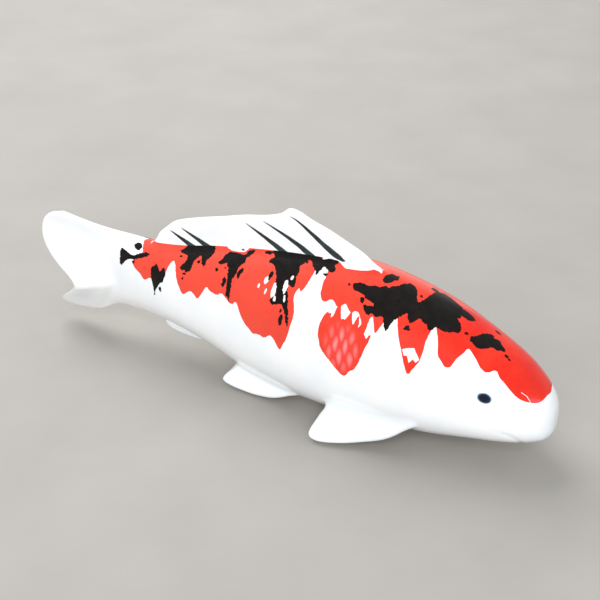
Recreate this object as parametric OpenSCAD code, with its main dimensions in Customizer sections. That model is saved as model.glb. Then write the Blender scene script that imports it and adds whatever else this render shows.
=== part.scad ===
// Porcelain koi ornament: a slip-cast hollow body on a foot ring, with seven luted fins,
// and with red and black on-glaze transfers, each one a thin sheet that lies on the glaze.
// X runs along the fish with the nose at +X, Y is across it with its left side at +Y, Z is up.
// The origin is on the table, below the middle of the overall length.

/* [Body] */
// Overall length, from nose to tail tip
fish_length = 300; // [240:1:380]
// Width of the body at its widest
body_width = 62; // [50:1:78]
// Height of the back above the table, without the dorsal fin
ridge_height = 80; // [66:1:98]
// Wall of the hollow casting
wall = 4.5; // [3:0.1:6]
// Diameter of the kiln vent in the belly
vent_d = 5; // [3:0.1:6]

/* [Foot ring] */
// Length of the unglazed foot ring
foot_length = 42; // [34:1:50]
// Width of the foot ring
foot_width = 17; // [12:0.5:21]
// Height of the foot ring, which is also where the belly is pared flat
foot_height = 3; // [2.5:0.1:4]
// Width of the ring's own wall
foot_wall = 3.5; // [2:0.1:4.5]

/* [Fins] */
// Height of the dorsal fin over the back
dorsal_rise = 24; // [18:0.5:30]
// Thickness of the dorsal fin at its base
dorsal_thickness = 4.8; // [4.5:0.1:8]
// How far the tail reaches up and down from its middle
tail_half_span = 30; // [24:0.5:36]
// How far the middle of the tail is cupped to the right
tail_cup = 14; // [6:0.5:18]
// How far a pectoral fin reaches out from its root
pectoral_reach = 17; // [13:0.5:22]
// Thickness of a pectoral fin at its root
pectoral_thickness = 11; // [8:0.1:13]
// How far a pelvic fin reaches out from its root
pelvic_reach = 8; // [6:0.5:11]
// Thickness of a pelvic fin at its root
pelvic_thickness = 7; // [5:0.1:9]
// How far the anal fin hangs below the belly
anal_drop = 7; // [5:0.5:9]
// Thickness of every fin just inside its rounded margin
margin_thickness = 3.2; // [2.4:0.1:4]

/* [Decoration] */
// Thickness of a transfer
transfer_thickness = 0.25; // [0.15:0.05:0.4]
// Length of an eye
eye_length = 7.2; // [5:0.2:10]
// Height of an eye
eye_height = 5.2; // [3.6:0.2:7]

/* [Hidden] */

white_glaze = "white";
red_enamel = "orangered";
black_enamel = "black";
bare_porcelain = "linen";

// The body's lines: [station, half width, ridge, widest line, belly]. The station is in percent
// of the length behind the nose, the half width in percent of half the body's width, and the
// heights in percent of the ridge height.
lines = [
    [0, 5, 33.5, 30, 26.5],
    [0.5, 26, 42.5, 30, 20],
    [2, 43.5, 51, 31, 16.5],
    [6, 64.5, 64, 33, 13],
    [12.5, 82, 77.5, 35.5, 9.5],
    [19.5, 95, 89, 39, 5],
    [28, 100, 98, 42.5, 1.8],
    [36, 100, 101.5, 45, 1],
    [44.5, 92, 99.5, 46.5, 1.5],
    [53, 80.5, 95, 47.5, 6.5],
    [61, 66, 89.5, 48.5, 16.5],
    [69, 51.5, 82.5, 50, 23],
    [76, 38.5, 79, 51, 25],
    [81, 29, 79.5, 52, 24.5],
];
tail_root = 81;        // station where the tail fin is luted on
squareness = 2.2;      // exponent of the body's section, where 2 is an ellipse
hoops = 40;            // sections along the body
hoop_points = 48;      // points round each section
joint_gap = 0.06;      // slip line between the body and a fin
sheet_gap = 0.2;       // gap under a transfer
fin_clearance = 0.4;   // bare glaze between the dorsal fin's base and a transfer's edge
bite = 6;              // how deep a fin's blank starts inside the body before it is trimmed
rest_gap = 0.3;        // gap between a paired fin and the table
vent_station = 42;     // station of the kiln vent and of the foot ring's middle

// ---- Small helpers ----
function mix(a, b, t) = a + (b - a) * t;
function unit(v) = v / norm(v);
function clamp(v, low, high) = min(max(v, low), high);
function slope(rows, i, c) =
    let (a = max(i - 1, 0), b = min(i + 1, len(rows) - 1))
    (rows[b][c] - rows[a][c]) / (rows[b][0] - rows[a][0]);
// A smooth curve through column c of rows that are sorted by their first column
function along(rows, c, s) =
    let (
        i = clamp(len([for (r = rows) if (r[0] <= s) 1]) - 1, 0, len(rows) - 2),
        h = rows[i + 1][0] - rows[i][0],
        t = (s - rows[i][0]) / h
    )
    (2 * t ^ 3 - 3 * t ^ 2 + 1) * rows[i][c] + (t ^ 3 - 2 * t ^ 2 + t) * h * slope(rows, i, c)
    + (3 * t ^ 2 - 2 * t ^ 3) * rows[i + 1][c] + (t ^ 3 - t ^ 2) * h * slope(rows, i + 1, c);
function rounded(v, power) = sign(v) * abs(v) ^ (2 / power);

// ---- The body's surface ----
function station_x(s) = fish_length * (0.5 - s / 100);
function half_width(s) = along(lines, 1, s) / 100 * body_width / 2;
function ridge(s) = along(lines, 2, s) / 100 * ridge_height;
function widest(s) = along(lines, 3, s) / 100 * ridge_height;
function belly(s) = along(lines, 4, s) / 100 * ridge_height;
// The angle is counted from the ridge, positive down the fish's right side, which is at -Y
function flat_point(s, a, inset = 0) =
    let (up = cos(a) >= 0 ? ridge(s) - widest(s) : widest(s) - belly(s))
    [
        station_x(s),
        -(half_width(s) - inset) * rounded(sin(a), squareness),
        widest(s) + (up - inset) * rounded(cos(a), squareness),
    ];
function normal(s, a) =
    let (ds = 0.05, da = 1)
    unit(cross(
        flat_point(s + ds, a) - flat_point(max(s - ds, 0), a),
        flat_point(s, a + da) - flat_point(s, a - da)
    ));
function skin_point(s, a, lift = 0) = flat_point(s, a) + lift * normal(s, a);

// ---- Solids from points ----
// A tube through closed rings of points, with a flat fan at each end
module tube(rings) {
    n = len(rings[0]);
    count = len(rings);
    points = [for (r = rings) each r];
    sides = [
        for (i = [0:count - 2], j = [0:n - 1])
            let (a = i * n + j, b = i * n + (j + 1) % n)
            each [[a, b, b + n], [a, b + n, a + n]]
    ];
    polyhedron(
        points,
        concat(sides, [[for (j = [n - 1:-1:0]) j]], [[for (j = [0:n - 1]) (count - 1) * n + j]])
    );
}

// A slab between two grids of the same size, closed round its four edges
module slab(front, back) {
    rows = len(front);
    cols = len(front[0]);
    n = rows * cols;
    function id(i, j, side) = side * n + i * cols + j;
    faces = [
        for (i = [0:rows - 2], j = [0:cols - 2])
            let (
                a = id(i, j, 0), b = id(i + 1, j, 0), c = id(i + 1, j + 1, 0), d = id(i, j + 1, 0)
            )
            each [[a, b, c], [a, c, d], [c + n, b + n, a + n], [d + n, c + n, a + n]]
    ];
    rim = concat(
        [for (i = [0:rows - 1]) id(i, 0, 0)],
        [for (j = [1:cols - 1]) id(rows - 1, j, 0)],
        [for (i = [rows - 2:-1:0]) id(i, cols - 1, 0)],
        [for (j = [cols - 2:-1:1]) id(0, j, 0)]
    );
    edges = [
        for (k = [0:len(rim) - 1])
            let (a = rim[k], b = rim[(k + 1) % len(rim)])
            each [[b, a, a + n], [b, a + n, b + n]]
    ];
    polyhedron([for (g = [front, back], r = g) each r], concat(faces, edges));
}

// ---- Body and foot ----
module body_solid(lift = 0) {
    nose_share = 0.16; // part of the hoops that crowd the blunt nose
    crowd = [for (i = [0:hoops]) let (t = i / hoops) t < nose_share ? 6 * (t / nose_share) ^ 2
        : mix(6, tail_root, (t - nose_share) / (1 - nose_share))];
    tube([
        for (s = crowd)
            [for (j = [0:hoop_points - 1]) skin_point(s, 360 * j / hoop_points, lift)]
    ]);
}

// The kiln's hollow: one wall inside the surface, and one wall above the pared belly
function hollow_point(s, a) =
    let (p = flat_point(s, a, wall)) [p.x, p.y, max(p.z, foot_height + wall)];
module cavity() {
    hollow_from = 100 * (wall + 3) / fish_length;
    hollow_to = 66;
    steps = 20;
    around = 24;
    tube([
        for (i = [0:steps])
            let (s = mix(hollow_from, hollow_to, i / steps))
            [for (j = [0:around - 1]) hollow_point(s, 360 * j / around)]
    ]);
}

module body_shell() {
    color(white_glaze)
    difference() {
        body_solid();
        cavity();
        translate([-fish_length / 2, -body_width / 2, -foot_height])
            cube([fish_length, body_width, 2 * foot_height]);
        translate([station_x(vent_station), 0, 0])
            cylinder(d = vent_d, h = ridge_height / 2, $fn = 48);
    }
}

module stadium(length, width) {
    square([length - width, width], center = true);
    for (side = [-1, 1])
        translate([side * (length - width) / 2, 0]) circle(d = width, $fn = 64);
}

module foot_ring() {
    color(bare_porcelain)
    translate([station_x(vent_station), 0, 0])
    linear_extrude(foot_height)
    difference() {
        stadium(foot_length, foot_width);
        stadium(foot_length - 2 * foot_wall, foot_width - 2 * foot_wall);
    }
}

// ---- Fins ----
// A blade over rays, each [root, tip, bow]. A ray runs from its root to its tip and is bowed by
// the given vector at its middle. face is the direction across the blade's thickness.
function ray_point(rays, k, u) =
    let (
        rows = [for (i = [0:len(rays) - 1]) concat(i, rays[i][0], rays[i][1], rays[i][2])],
        p = [for (c = [1:9]) along(rows, c, k)],
        root = [p[0], p[1], p[2]], tip = [p[3], p[4], p[5]], bow = [p[6], p[7], p[8]]
    )
    mix(root, tip, u) + 4 * u * (1 - u) * bow;
function blade_thickness(u, v, root_thickness, root_power) =
    let (
        edge = (1 - abs(2 * v - 1) ^ mix(root_power, 9, u)) ^ (1 / mix(root_power, 3, u)),
        margin = (1 - u ^ 12) ^ 0.5
    )
    max(mix(root_thickness, margin_thickness, min(1, 1.25 * u)) * edge * margin, 0.4);
module blade(rays, root_thickness, face, steps_out, steps_along, root_power = 3) {
    function side(sign) = [
        for (i = [0:steps_along])
            [for (j = [0:steps_out])
                let (v = i / steps_along, u = j / steps_out)
                ray_point(rays, v * (len(rays) - 1), u)
                + sign * face / 2 * blade_thickness(u, v, root_thickness, root_power)]
    ];
    slab(side(-1), side(1));
}

// Trims a fin's blank to the body's surface and leaves it as one mesh of its own size
module luted() {
    resize([0, 0, 0])
    difference() {
        children();
        body_solid(joint_gap);
    }
}

module on_both(side) {
    mirror([0, side == "left" ? 1 : 0, 0]) children();
}

// [root station, tip's distance behind the root, tip's height as a share of dorsal_rise]
dorsal_plan = [
    [31.2, 0.5, 0.04], [32, 6, 0.27], [33, 12, 0.43], [34.7, 17, 0.63], [36.7, 21, 0.81],
    [38.4, 22.5, 0.96], [39.8, 23.5, 1], [41, 25, 0.87], [43.5, 26, 0.8], [47.5, 26, 0.77],
    [52.5, 24, 0.71], [58, 22, 0.68], [63.5, 19, 0.6], [67.7, 13, 0.43], [70.8, 8.5, 0.26],
    [73, 4, 0.08],
];
dorsal_rays = [
    for (r = dorsal_plan)
        let (x = station_x(r[0]))
        [
            [x, 0, ridge(r[0]) - bite],
            [x - r[1], 0, ridge(r[0] + 100 * r[1] / fish_length) + r[2] * dorsal_rise],
            [0, 0, 0],
        ]
];
module dorsal_fin() {
    color(white_glaze)
    luted() blade(dorsal_rays, dorsal_thickness, [0, 1, 0], 6, 36);
}

// [height at the root in percent, tip's distance behind the root, tip's height from the middle
// and its cup, both as shares, and the ray's bow upward and to the left]
tail_plan = [
    [0, 43, -0.98, 0.05, -5.5, 0], [9, 48, -0.9, 0.2, -4, -1], [18, 44, -0.72, 0.45, -2, -2],
    [28, 35, -0.47, 0.78, 0, -3], [37, 29, -0.26, 1, 0, -3], [46, 33, -0.12, 0.9, 0, -3],
    [55, 43, 0, 0.65, 0, -3], [65, 53, 0.17, 0.36, 0, -2], [75, 58.5, 0.4, 0.15, 0, -1],
    [85, 58.5, 0.67, 0, 0, 0], [93, 53, 0.86, 0, 0, 0], [100, 44, 0.95, 0, -3.5, 0],
];
module tail_fin() {
    low = belly(tail_root);
    high = ridge(tail_root);
    middle = (low + high) / 2 - 3;
    stretch = (100 - tail_root) / 100 * fish_length / 59.1; // fills the length behind the root
    steps_up = 22;
    steps_out = 12;
    function face(side) = [
        for (i = [0:steps_up])
            [for (j = [0:steps_out])
                let (
                    v = i / steps_up, u = j / steps_out,
                    root = flat_point(tail_root, 180 * (1 - v)),
                    share = 100 * (root.z - low) / (high - low),
                    tip = [
                        root.x - along(tail_plan, 1, share) * stretch,
                        -along(tail_plan, 3, share) * tail_cup,
                        middle + along(tail_plan, 2, share) * tail_half_span,
                    ],
                    bow = [0, along(tail_plan, 5, share), along(tail_plan, 4, share)],
                    rim = (1 - abs(2 * v - 1) ^ 9) ^ (1 / 3) * (1 - u ^ 12) ^ 0.5,
                    thin = min(1, 1.6 * u),
                    half = mix(-root.y, margin_thickness / 2 * rim, thin * (2 - thin))
                )
                mix([root.x - joint_gap, 0, root.z], tip, u) + 4 * u * (1 - u) * bow
                + [0, side * max(half, 0.2), 0]]
    ];
    color(white_glaze)
    slab(face(1), face(-1));
}

// [root station, tip's distance behind the root, share of anal_drop]
anal_plan = [
    [62.5, 2, 0.35], [64.5, 4, 0.8], [66.5, 6, 1], [68.5, 8.5, 1], [70, 9.5, 0.75], [71.3, 7, 0.3],
];
module anal_fin() {
    rays = [
        for (r = anal_plan) [
            [station_x(r[0]), 0, belly(r[0]) + bite / 2],
            [station_x(r[0]) - r[1], 0, belly(r[0]) - r[2] * anal_drop],
            [0, 0, 0],
        ]
    ];
    color(white_glaze)
    luted() blade(rays, margin_thickness + 1, [0, -1, 0], 6, 14);
}

// [root station, root angle, tip's distance behind the root, share of the reach, and the tip's
// height over the table as a share of the root's]
pectoral_plan = [
    [20.5, 116, 0.5, 0.02, 0.93], [22.5, 122, 6, 0.3, 0.52], [25.5, 126, 10, 0.6, 0.3],
    [28.5, 129, 11, 0.85, 0.2], [31, 130, 13, 1, 0.16], [33, 130, 12.5, 0.88, 0.22],
    [34.3, 130, 8, 0.48, 0.5], [35.2, 130, 3.5, 0.2, 0.8],
];
pelvic_plan = [
    [43, 138, 0.5, 0.02, 0.9], [45, 144, 6, 0.45, 0.42], [47.5, 149, 8, 0.8, 0.24],
    [50, 152, 9, 0.98, 0.2], [52, 153, 12, 1, 0.24], [53.3, 153, 13.5, 0.82, 0.34],
    [54.3, 153, 9, 0.28, 0.55], [55, 153, 4, 0.1, 0.85],
];
module paired_fin(plan, reach, root_thickness) {
    rays = [
        for (r = plan)
            let (root = skin_point(r[0], r[1]))
            [
                skin_point(r[0], r[1], -bite),
                [root.x - r[2], root.y - r[3] * reach, rest_gap + r[4] * root.z],
                [0, 0, 0],
            ]
    ];
    color(white_glaze)
    luted()
    intersection() {
        blade(rays, root_thickness, unit([0, -0.35, 1]), 9, 16);
        translate([-fish_length / 2, -body_width * 1.5, rest_gap])
            cube([fish_length, body_width * 1.5, ridge_height]);
    }
}
module pectoral_fin(side) on_both(side)
    paired_fin(pectoral_plan, pectoral_reach, pectoral_thickness);
module pelvic_fin(side) on_both(side)
    paired_fin(pelvic_plan, pelvic_reach, pelvic_thickness);

// ---- Transfers ----
// Each transfer's edges are rows of [station, upper angle, lower angle] down the right side.
red_head_edges = [
    [1.6, -8, 10], [1.8, -20, 28], [2.2, -36, 39], [2.8, -44, 46], [4.1, -47, 51],
    [5.3, -48, 50], [6.4, -45, 46], [7.5, -42, 41], [8.4, -38, 38], [9.1, -30, 32],
    [10.3, -36, 42], [11.3, -39, 41], [12.2, -40, 36], [13.1, -34, 31], [14, -26, 28],
    [14.6, -30, 38], [15.4, -44, 51], [16.3, -52, 55], [17.9, -56, 47], [18.5, -50, 36],
    [19.3, -36, 26], [19.8, -30, 34], [20.3, -32, 58], [21, -40, 65], [21.7, -48, 72],
    [22.6, -58, 64], [23.6, -66, 55], [24.4, -58, 46], [25, -42, 40], [25.6, -32, 29],
    [26.2, -28, 29], [26.7, -36, 39], [27.7, -44, 50], [28.4, -40, 36], [30.2, -38, 42],
];
red_shoulder_edges = [
    [30.3, 0, 42], [31.2, 0, 39], [32.1, 0, 43], [33.5, 0, 38], [34.7, 0, 43], [35.5, 0, 40],
    [36.7, 0, 42], [37.9, 4, 41], [38.4, 10, 36], [38.7, 17, 29],
];
red_saddle_edges = [
    [41, 0, 40], [41.4, 0, 46], [41.9, 0, 40], [42.3, 0, 60], [42.8, 0, 71], [43.2, 0, 78],
    [43.9, 0, 84], [44.5, 0, 89], [45.4, 0, 85], [46.7, 0, 80], [47.6, 0, 85], [48.9, 0, 83],
    [50, 0, 84], [51, 0, 81], [52, 0, 78], [53.2, 0, 69], [53.9, 0, 63], [54.8, 0, 68],
    [56, 0, 64], [57.2, 0, 60], [58, 0, 64], [59.8, 0, 62], [60.5, 0, 58], [61.2, 0, 65],
    [62.2, 0, 75], [63.8, 0, 68], [65.6, 0, 76], [66.3, 0, 71], [67.3, 0, 60], [67.9, 0, 47],
    [68.5, 0, 37], [69, 0, 35], [69.5, 0, 46], [70.2, 0, 64], [72.5, 0, 70], [73.6, 0, 71],
    [74.8, 0, 76], [75.7, 12, 71], [76.5, 42, 68], [77.2, 48, 65], [77.9, 53, 58],
];
red_flank_edges = [
    [28.8, 50, 53], [29.4, 49, 64], [30, 51, 77], [30.6, 47, 81], [31.4, 51, 83],
    [32.2, 48, 88], [33.4, 51, 86], [34.2, 47, 84], [34.9, 51, 82], [35.6, 46, 80],
    [36.5, 53, 77], [37.2, 52, 73], [37.5, 60, 68],
];
black_shoulder_edges = [
    [15.9, 14, 21], [16.6, 8, 22], [17.4, -2, 26], [18.4, -8, 27], [19.3, -10, 26],
    [20, -14, 30], [21, -15, 28], [22, -10, 28], [22.6, 2, 31], [23, 10, 34], [23.6, 12, 30],
    [24.3, 4, 29], [25, 0, 29], [26, -3, 31], [26.5, 0, 41], [27, 4, 33], [28, 10, 36],
    [29, 13, 37], [30, 16, 37], [30.8, 18, 34], [31.5, 20, 27], [32.5, 21, 26], [33.8, 22, 25],
];
black_nape_edges = [
    [9.2, 4, 8], [9.8, 2, 10], [10.5, 0, 13], [11.2, -1, 14], [12, -1, 20], [12.8, 2, 23],
    [13.5, 8, 23], [14.3, 15, 21],
];
black_saddle_edges = [
    [37.4, 6, 10], [38.4, 2, 12], [39.4, 0, 13], [40, 0, 21], [40.6, 0, 16], [41.4, 0, 15],
    [42.3, 0, 11], [42.9, 0, 34], [43.4, 0, 62], [43.9, 0, 66], [44.5, 0, 52], [45.5, 0, 50],
    [46.6, 0, 48], [47.2, 0, 36], [48.2, 0, 24], [49.2, 0, 20], [50, 0, 15], [51, 0, 12],
];
black_waist_edges = [
    [53.8, 0, 13], [54.6, 4, 16], [55, 9, 68], [55.6, 7, 62], [56.4, 5, 50], [57, 5, 31],
    [58, 6, 30], [58.8, 18, 31], [59.4, 26, 31],
];
black_loin_edges = [
    [61, 6, 18], [61.7, 0, 36], [62.3, 0, 33], [63.2, 0, 23], [64, 0, 44], [64.6, 0, 38],
    [65.3, 0, 50], [66.4, 0, 48], [67, 0, 38], [67.6, 0, 22], [68.4, 8, 17],
];
black_peduncle_edges = [
    [69.9, 56, 66], [70.6, 53, 72], [71.3, 57, 76], [71.8, 52, 82], [72.3, 46, 90],
    [72.8, 52, 80], [73.3, 57, 69],
];
black_tail_root_edges = [
    [74.9, 34, 40], [75.6, 34, 44], [76.6, 43, 51], [78, 49, 57], [79.3, 46, 62],
    [80.6, 42, 70],
];

// The angle that clears the dorsal fin's base on its side of the body
function beside_fin(s) =
    asin(((dorsal_thickness / 2 + fin_clearance) / half_width(s)) ^ (squareness / 2));
// The left flank's edges wander away from the right's, as hand-cut transfers do
function wander(s, side) = side == "left" ? 1 + 0.08 * sin(40 * s) : 1;

// A sheet over the right side of the body. level 1 lies on the glaze and level 2 on the red.
module body_transfer(edges, paint, level = 1, over_ridge = false, side = "right") {
    longest_step = 2.2;
    steepest = 11;
    widest_step = 8.5;
    low = sheet_gap + (level - 1) * (transfer_thickness + sheet_gap);
    columns = concat(
        [for (k = [0:len(edges) - 2])
            let (change = edges[k + 1] - edges[k], n = ceil(max(
                change[0] / longest_step, abs(change[1]) / steepest, abs(change[2]) / steepest)))
            each [for (m = [0:n - 1]) mix(edges[k], edges[k + 1], m / n)]],
        [edges[len(edges) - 1]]
    );
    cuts = ceil(max([for (e = edges) e[2] - e[1]]) / widest_step);
    function sheet(lift) = [
        for (c = columns)
            let (
                w = wander(c[0], side),
                upper = over_ridge ? c[1] : max(c[1] * w, beside_fin(c[0])),
                lower = max(c[2] * w, upper + 1)
            )
            [for (j = [0:cuts]) skin_point(c[0], mix(upper, lower, j / cuts), lift)]
    ];
    color(paint)
    on_both(side)
    slab(sheet(low), sheet(low + transfer_thickness));
}

// Five ray strokes on one side of the dorsal fin, as wide as stroke_width at the foot: [ray at
// the foot and at the tip, share of the ray's length at the foot and at the tip]
stroke_width = 2.2;
ray_strokes = [
    [12, 12.8, 0.37, 0.87], [11.4, 12, 0.36, 0.82], [8.5, 9.2, 0.33, 0.85],
    [6.8, 8.3, 0.33, 0.9], [3.3, 6.3, 0.5, 0.9],
];
module dorsal_ray_transfers(side) {
    count = len(dorsal_plan) - 1;
    steps = 4;
    function stroke(r, lift) = [
        for (i = [0:steps])
            let (
                t = i / steps, k = mix(r[0], r[1], t), u = mix(r[2], r[3], t),
                half_thickness = blade_thickness(u, k / count, dorsal_thickness, 3) / 2
            )
            [for (edge = [-1, 1])
                ray_point(dorsal_rays, k, u)
                + [edge * mix(stroke_width, 0.3, t) / 2, -lift - half_thickness, 0]]
    ];
    color(black_enamel)
    on_both(side)
    for (r = ray_strokes)
        slab(stroke(r, sheet_gap + transfer_thickness), stroke(r, sheet_gap));
}

// An oval spot on the body, domed like a drop of enamel
module eye(side) {
    station = 9.8;
    angle = 66;
    rings = 3;
    around = 20;
    centre = skin_point(station, angle);
    out = normal(station, angle);
    back = unit(flat_point(station + 1, angle) - flat_point(station - 1, angle));
    up = cross(out, back);
    top = 0.35;
    color(black_enamel)
    on_both(side)
    multmatrix([
        [back.x, up.x, out.x, centre.x],
        [back.y, up.y, out.y, centre.y],
        [back.z, up.z, out.z, centre.z],
        [0, 0, 0, 1],
    ])
    tube([
        for (k = [0:rings])
            let (size = cos(82 * k / rings))
            [for (j = [0:around - 1])
                let (a = -360 * j / around)
                [eye_length / 2 * size * cos(a), eye_height / 2 * size * sin(a),
                    joint_gap + top * sin(90 * k / rings)]]
    ]);
}

module red_head_transfer() body_transfer(red_head_edges, red_enamel, 1, true);
module red_shoulder_transfer(side) body_transfer(red_shoulder_edges, red_enamel, side = side);
module red_saddle_transfer(side) body_transfer(red_saddle_edges, red_enamel, side = side);
module red_flank_transfer(side) body_transfer(red_flank_edges, red_enamel, side = side);
module black_shoulder_transfer() body_transfer(black_shoulder_edges, black_enamel, 2, true);
module black_nape_transfer() body_transfer(black_nape_edges, black_enamel, 2, true);
module black_saddle_transfer(side) body_transfer(black_saddle_edges, black_enamel, 2, side = side);
module black_waist_transfer(side) body_transfer(black_waist_edges, black_enamel, 2, side = side);
module black_loin_transfer(side) body_transfer(black_loin_edges, black_enamel, 2, side = side);
module black_peduncle_transfer(side)
    body_transfer(black_peduncle_edges, black_enamel, 2, side = side);
module black_tail_root_transfer(side)
    body_transfer(black_tail_root_edges, black_enamel, 2, side = side);

body_shell();
foot_ring();
dorsal_fin();
tail_fin();
anal_fin();
pectoral_fin("right");  // right_pectoral_fin
pectoral_fin("left");  // left_pectoral_fin
pelvic_fin("right");  // right_pelvic_fin
pelvic_fin("left");  // left_pelvic_fin
eye("right");  // right_eye
eye("left");  // left_eye
red_head_transfer();
red_shoulder_transfer("right");  // red_shoulder_transfer_right
red_shoulder_transfer("left");  // red_shoulder_transfer_left
red_saddle_transfer("right");  // red_saddle_transfer_right
red_saddle_transfer("left");  // red_saddle_transfer_left
red_flank_transfer("right");  // red_flank_transfer_right
red_flank_transfer("left");  // red_flank_transfer_left
black_shoulder_transfer();
black_nape_transfer();
black_saddle_transfer("right");  // black_saddle_transfer_right
black_saddle_transfer("left");  // black_saddle_transfer_left
black_waist_transfer("right");  // black_waist_transfer_right
black_waist_transfer("left");  // black_waist_transfer_left
black_loin_transfer("right");  // black_loin_transfer_right
black_loin_transfer("left");  // black_loin_transfer_left
black_peduncle_transfer("right");  // black_peduncle_transfer_right
black_peduncle_transfer("left");  // black_peduncle_transfer_left
black_tail_root_transfer("right");  // black_tail_root_transfer_right
black_tail_root_transfer("left");  // black_tail_root_transfer_left
dorsal_ray_transfers("right");  // dorsal_ray_transfers_right
dorsal_ray_transfers("left");  // dorsal_ray_transfers_left
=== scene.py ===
import math

import bmesh
import bpy
import numpy as np
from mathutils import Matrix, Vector, geometry, noise
from mathutils.bvhtree import BVHTree


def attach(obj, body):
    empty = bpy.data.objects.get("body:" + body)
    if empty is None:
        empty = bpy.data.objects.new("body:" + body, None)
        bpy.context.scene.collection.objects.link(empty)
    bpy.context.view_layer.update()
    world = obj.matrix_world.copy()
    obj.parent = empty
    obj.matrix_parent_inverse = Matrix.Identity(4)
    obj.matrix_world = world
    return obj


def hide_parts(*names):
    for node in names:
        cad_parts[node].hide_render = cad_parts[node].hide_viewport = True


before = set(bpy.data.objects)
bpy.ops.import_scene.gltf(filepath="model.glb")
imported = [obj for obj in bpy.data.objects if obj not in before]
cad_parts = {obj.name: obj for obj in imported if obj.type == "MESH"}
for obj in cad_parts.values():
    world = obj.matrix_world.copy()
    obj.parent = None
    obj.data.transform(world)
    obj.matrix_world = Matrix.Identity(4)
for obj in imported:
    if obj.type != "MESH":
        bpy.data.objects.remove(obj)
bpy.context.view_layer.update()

mm = 0.001
print("koi: frame loaded,", len(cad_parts), "nodes")


# Azimuth 0 looks across the fish's right flank, and a larger one looks more from the nose
view = {"azimuth": 28, "elevation": 31, "distance": 0.614, "target": (0.0104, 0.0044, 0.049),
        "lens": 72, "sensor": 36}


def backVector(azimuth, elevation):
    a, e = math.radians(azimuth), math.radians(elevation)
    return Vector((math.sin(a) * math.cos(e), -math.cos(a) * math.cos(e), math.sin(e)))


def newObject(name, data):
    made = bpy.data.objects.new(name, data)
    bpy.context.scene.collection.objects.link(made)
    return made


def aimAt(obj, target):
    obj.rotation_euler = (Vector(target) - obj.location).to_track_quat("-Z", "Y").to_euler()


def addCamera():
    data = bpy.data.cameras.new("koiCamera")
    data.lens, data.sensor_width, data.clip_start = view["lens"], view["sensor"], 0.01
    camera = newObject("koiCamera", data)
    camera.location = (Vector(view["target"])
                       + backVector(view["azimuth"], view["elevation"]) * view["distance"])
    aimAt(camera, view["target"])
    bpy.context.scene.camera = camera


# Big soft boxes: watts, size in metres, where each hangs, and whether the glaze mirrors it
softBoxes = {
    "windowBox": {"power": 19, "size": 1.1, "at": (-0.7, 0.45, 1.05), "tint": "#f6f9ff",
                  "mirrored": False},
    "frontBox": {"power": 15.5, "size": 1.0, "at": (0.35, -1.15, 0.75), "tint": "#fafcff",
                 "mirrored": False},
    "noseBox": {"power": 1.6, "size": 0.45, "at": (1.1, -0.1, 0.2), "tint": "#d9e9ff",
                "mirrored": True},
    "wallBox": {"power": 3.4, "size": 1.3, "at": (-0.5, 1.7, 0.5), "tint": "#fff6ea",
                "mirrored": True},
}
lampTarget = (0, 0, 0.04)  # about the middle of the fish
roomLight = {"colour": "#eef2f8", "strength": 0.6}


def addLights():
    for name, box in softBoxes.items():
        data = bpy.data.lights.new(name, "AREA")
        data.energy, data.size, data.color = box["power"], box["size"], linear(box["tint"])[:3]
        lamp = newObject(name, data)
        lamp.location = box["at"]
        lamp.visible_glossy = box["mirrored"]
        aimAt(lamp, lampTarget)
    world = bpy.data.worlds.new("studioRoom")
    world.use_nodes = True
    background = world.node_tree.nodes["Background"]
    background.inputs["Color"].default_value = linear(roomLight["colour"])
    background.inputs["Strength"].default_value = roomLight["strength"]
    bpy.context.scene.world = world
    bpy.context.scene.view_settings.view_transform = "Standard"


def linear(hexColour):
    parts = [int(hexColour[i:i + 2], 16) / 255 for i in (1, 3, 5)]
    return tuple(p / 12.92 if p <= 0.04045 else ((p + 0.055) / 1.055) ** 2.4
                 for p in parts) + (1,)


def addNode(tree, kind, inputs=None, stops=(), **settings):
    node = tree.nodes.new(kind)
    for key, value in settings.items():
        setattr(node, key, value)
    for n, (position, colour) in enumerate(stops):  # a colour ramp's, from low to high
        ramp = node.color_ramp.elements
        stop = ramp[n] if n < 2 else ramp.new(position)
        stop.position, stop.color = position, linear(colour)
    for key, value in (inputs or {}).items():
        if isinstance(value, bpy.types.NodeSocket):
            tree.links.new(value, node.inputs[key])
        else:
            node.inputs[key].default_value = value
    return node


def perMetre(size):
    return 1 / (size * mm)  # a pattern's scale from the real size of its marks in millimetres


def unit(v):
    return v / np.maximum(np.linalg.norm(v, axis=-1, keepdims=True), 1e-9)


def mix(a, b, t):
    return a + (b - a) * t


def ease(t):
    t = np.clip(t, 0, 1)
    return t * t * (3 - 2 * t)


def along(rows, column, s):
    # a smooth curve through one column of rows that are sorted by their first column
    rows, s = np.asarray(rows, float), np.asarray(s, float)
    x, y = rows[:, 0], rows[:, column]
    last = len(x) - 1
    i = np.clip(np.searchsorted(x, s, side="right") - 1, 0, last - 1)
    low, high = np.maximum(np.arange(last + 1) - 1, 0), np.minimum(np.arange(last + 1) + 1, last)
    slope = (y[high] - y[low]) / (x[high] - x[low])
    h = x[i + 1] - x[i]
    t = (s - x[i]) / h
    return ((2 * t ** 3 - 3 * t ** 2 + 1) * y[i] + (t ** 3 - 2 * t ** 2 + t) * h * slope[i]
            + (3 * t ** 2 - 2 * t ** 3) * y[i + 1] + (t ** 3 - t ** 2) * h * slope[i + 1])


# The body's skin in millimetres. A place on it is a station, in percent of the length behind the
# nose, and an angle from the ridge in degrees, positive down the right side
bodyShape = {
    "length": 300, "width": 62, "ridgeHeight": 80, "squareness": 2.2, "tailRoot": 81,
    "paredAt": 3, "paredRound": 1.2, "hoops": 300, "around": 220,
    "noseHoops": 0.24, "noseTo": 6, "noseCrowding": 3,
    "wall": 4.5, "hollowFrom": 2.5, "hollowTo": 66, "vent": 5, "ventStation": 42,
}
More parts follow.
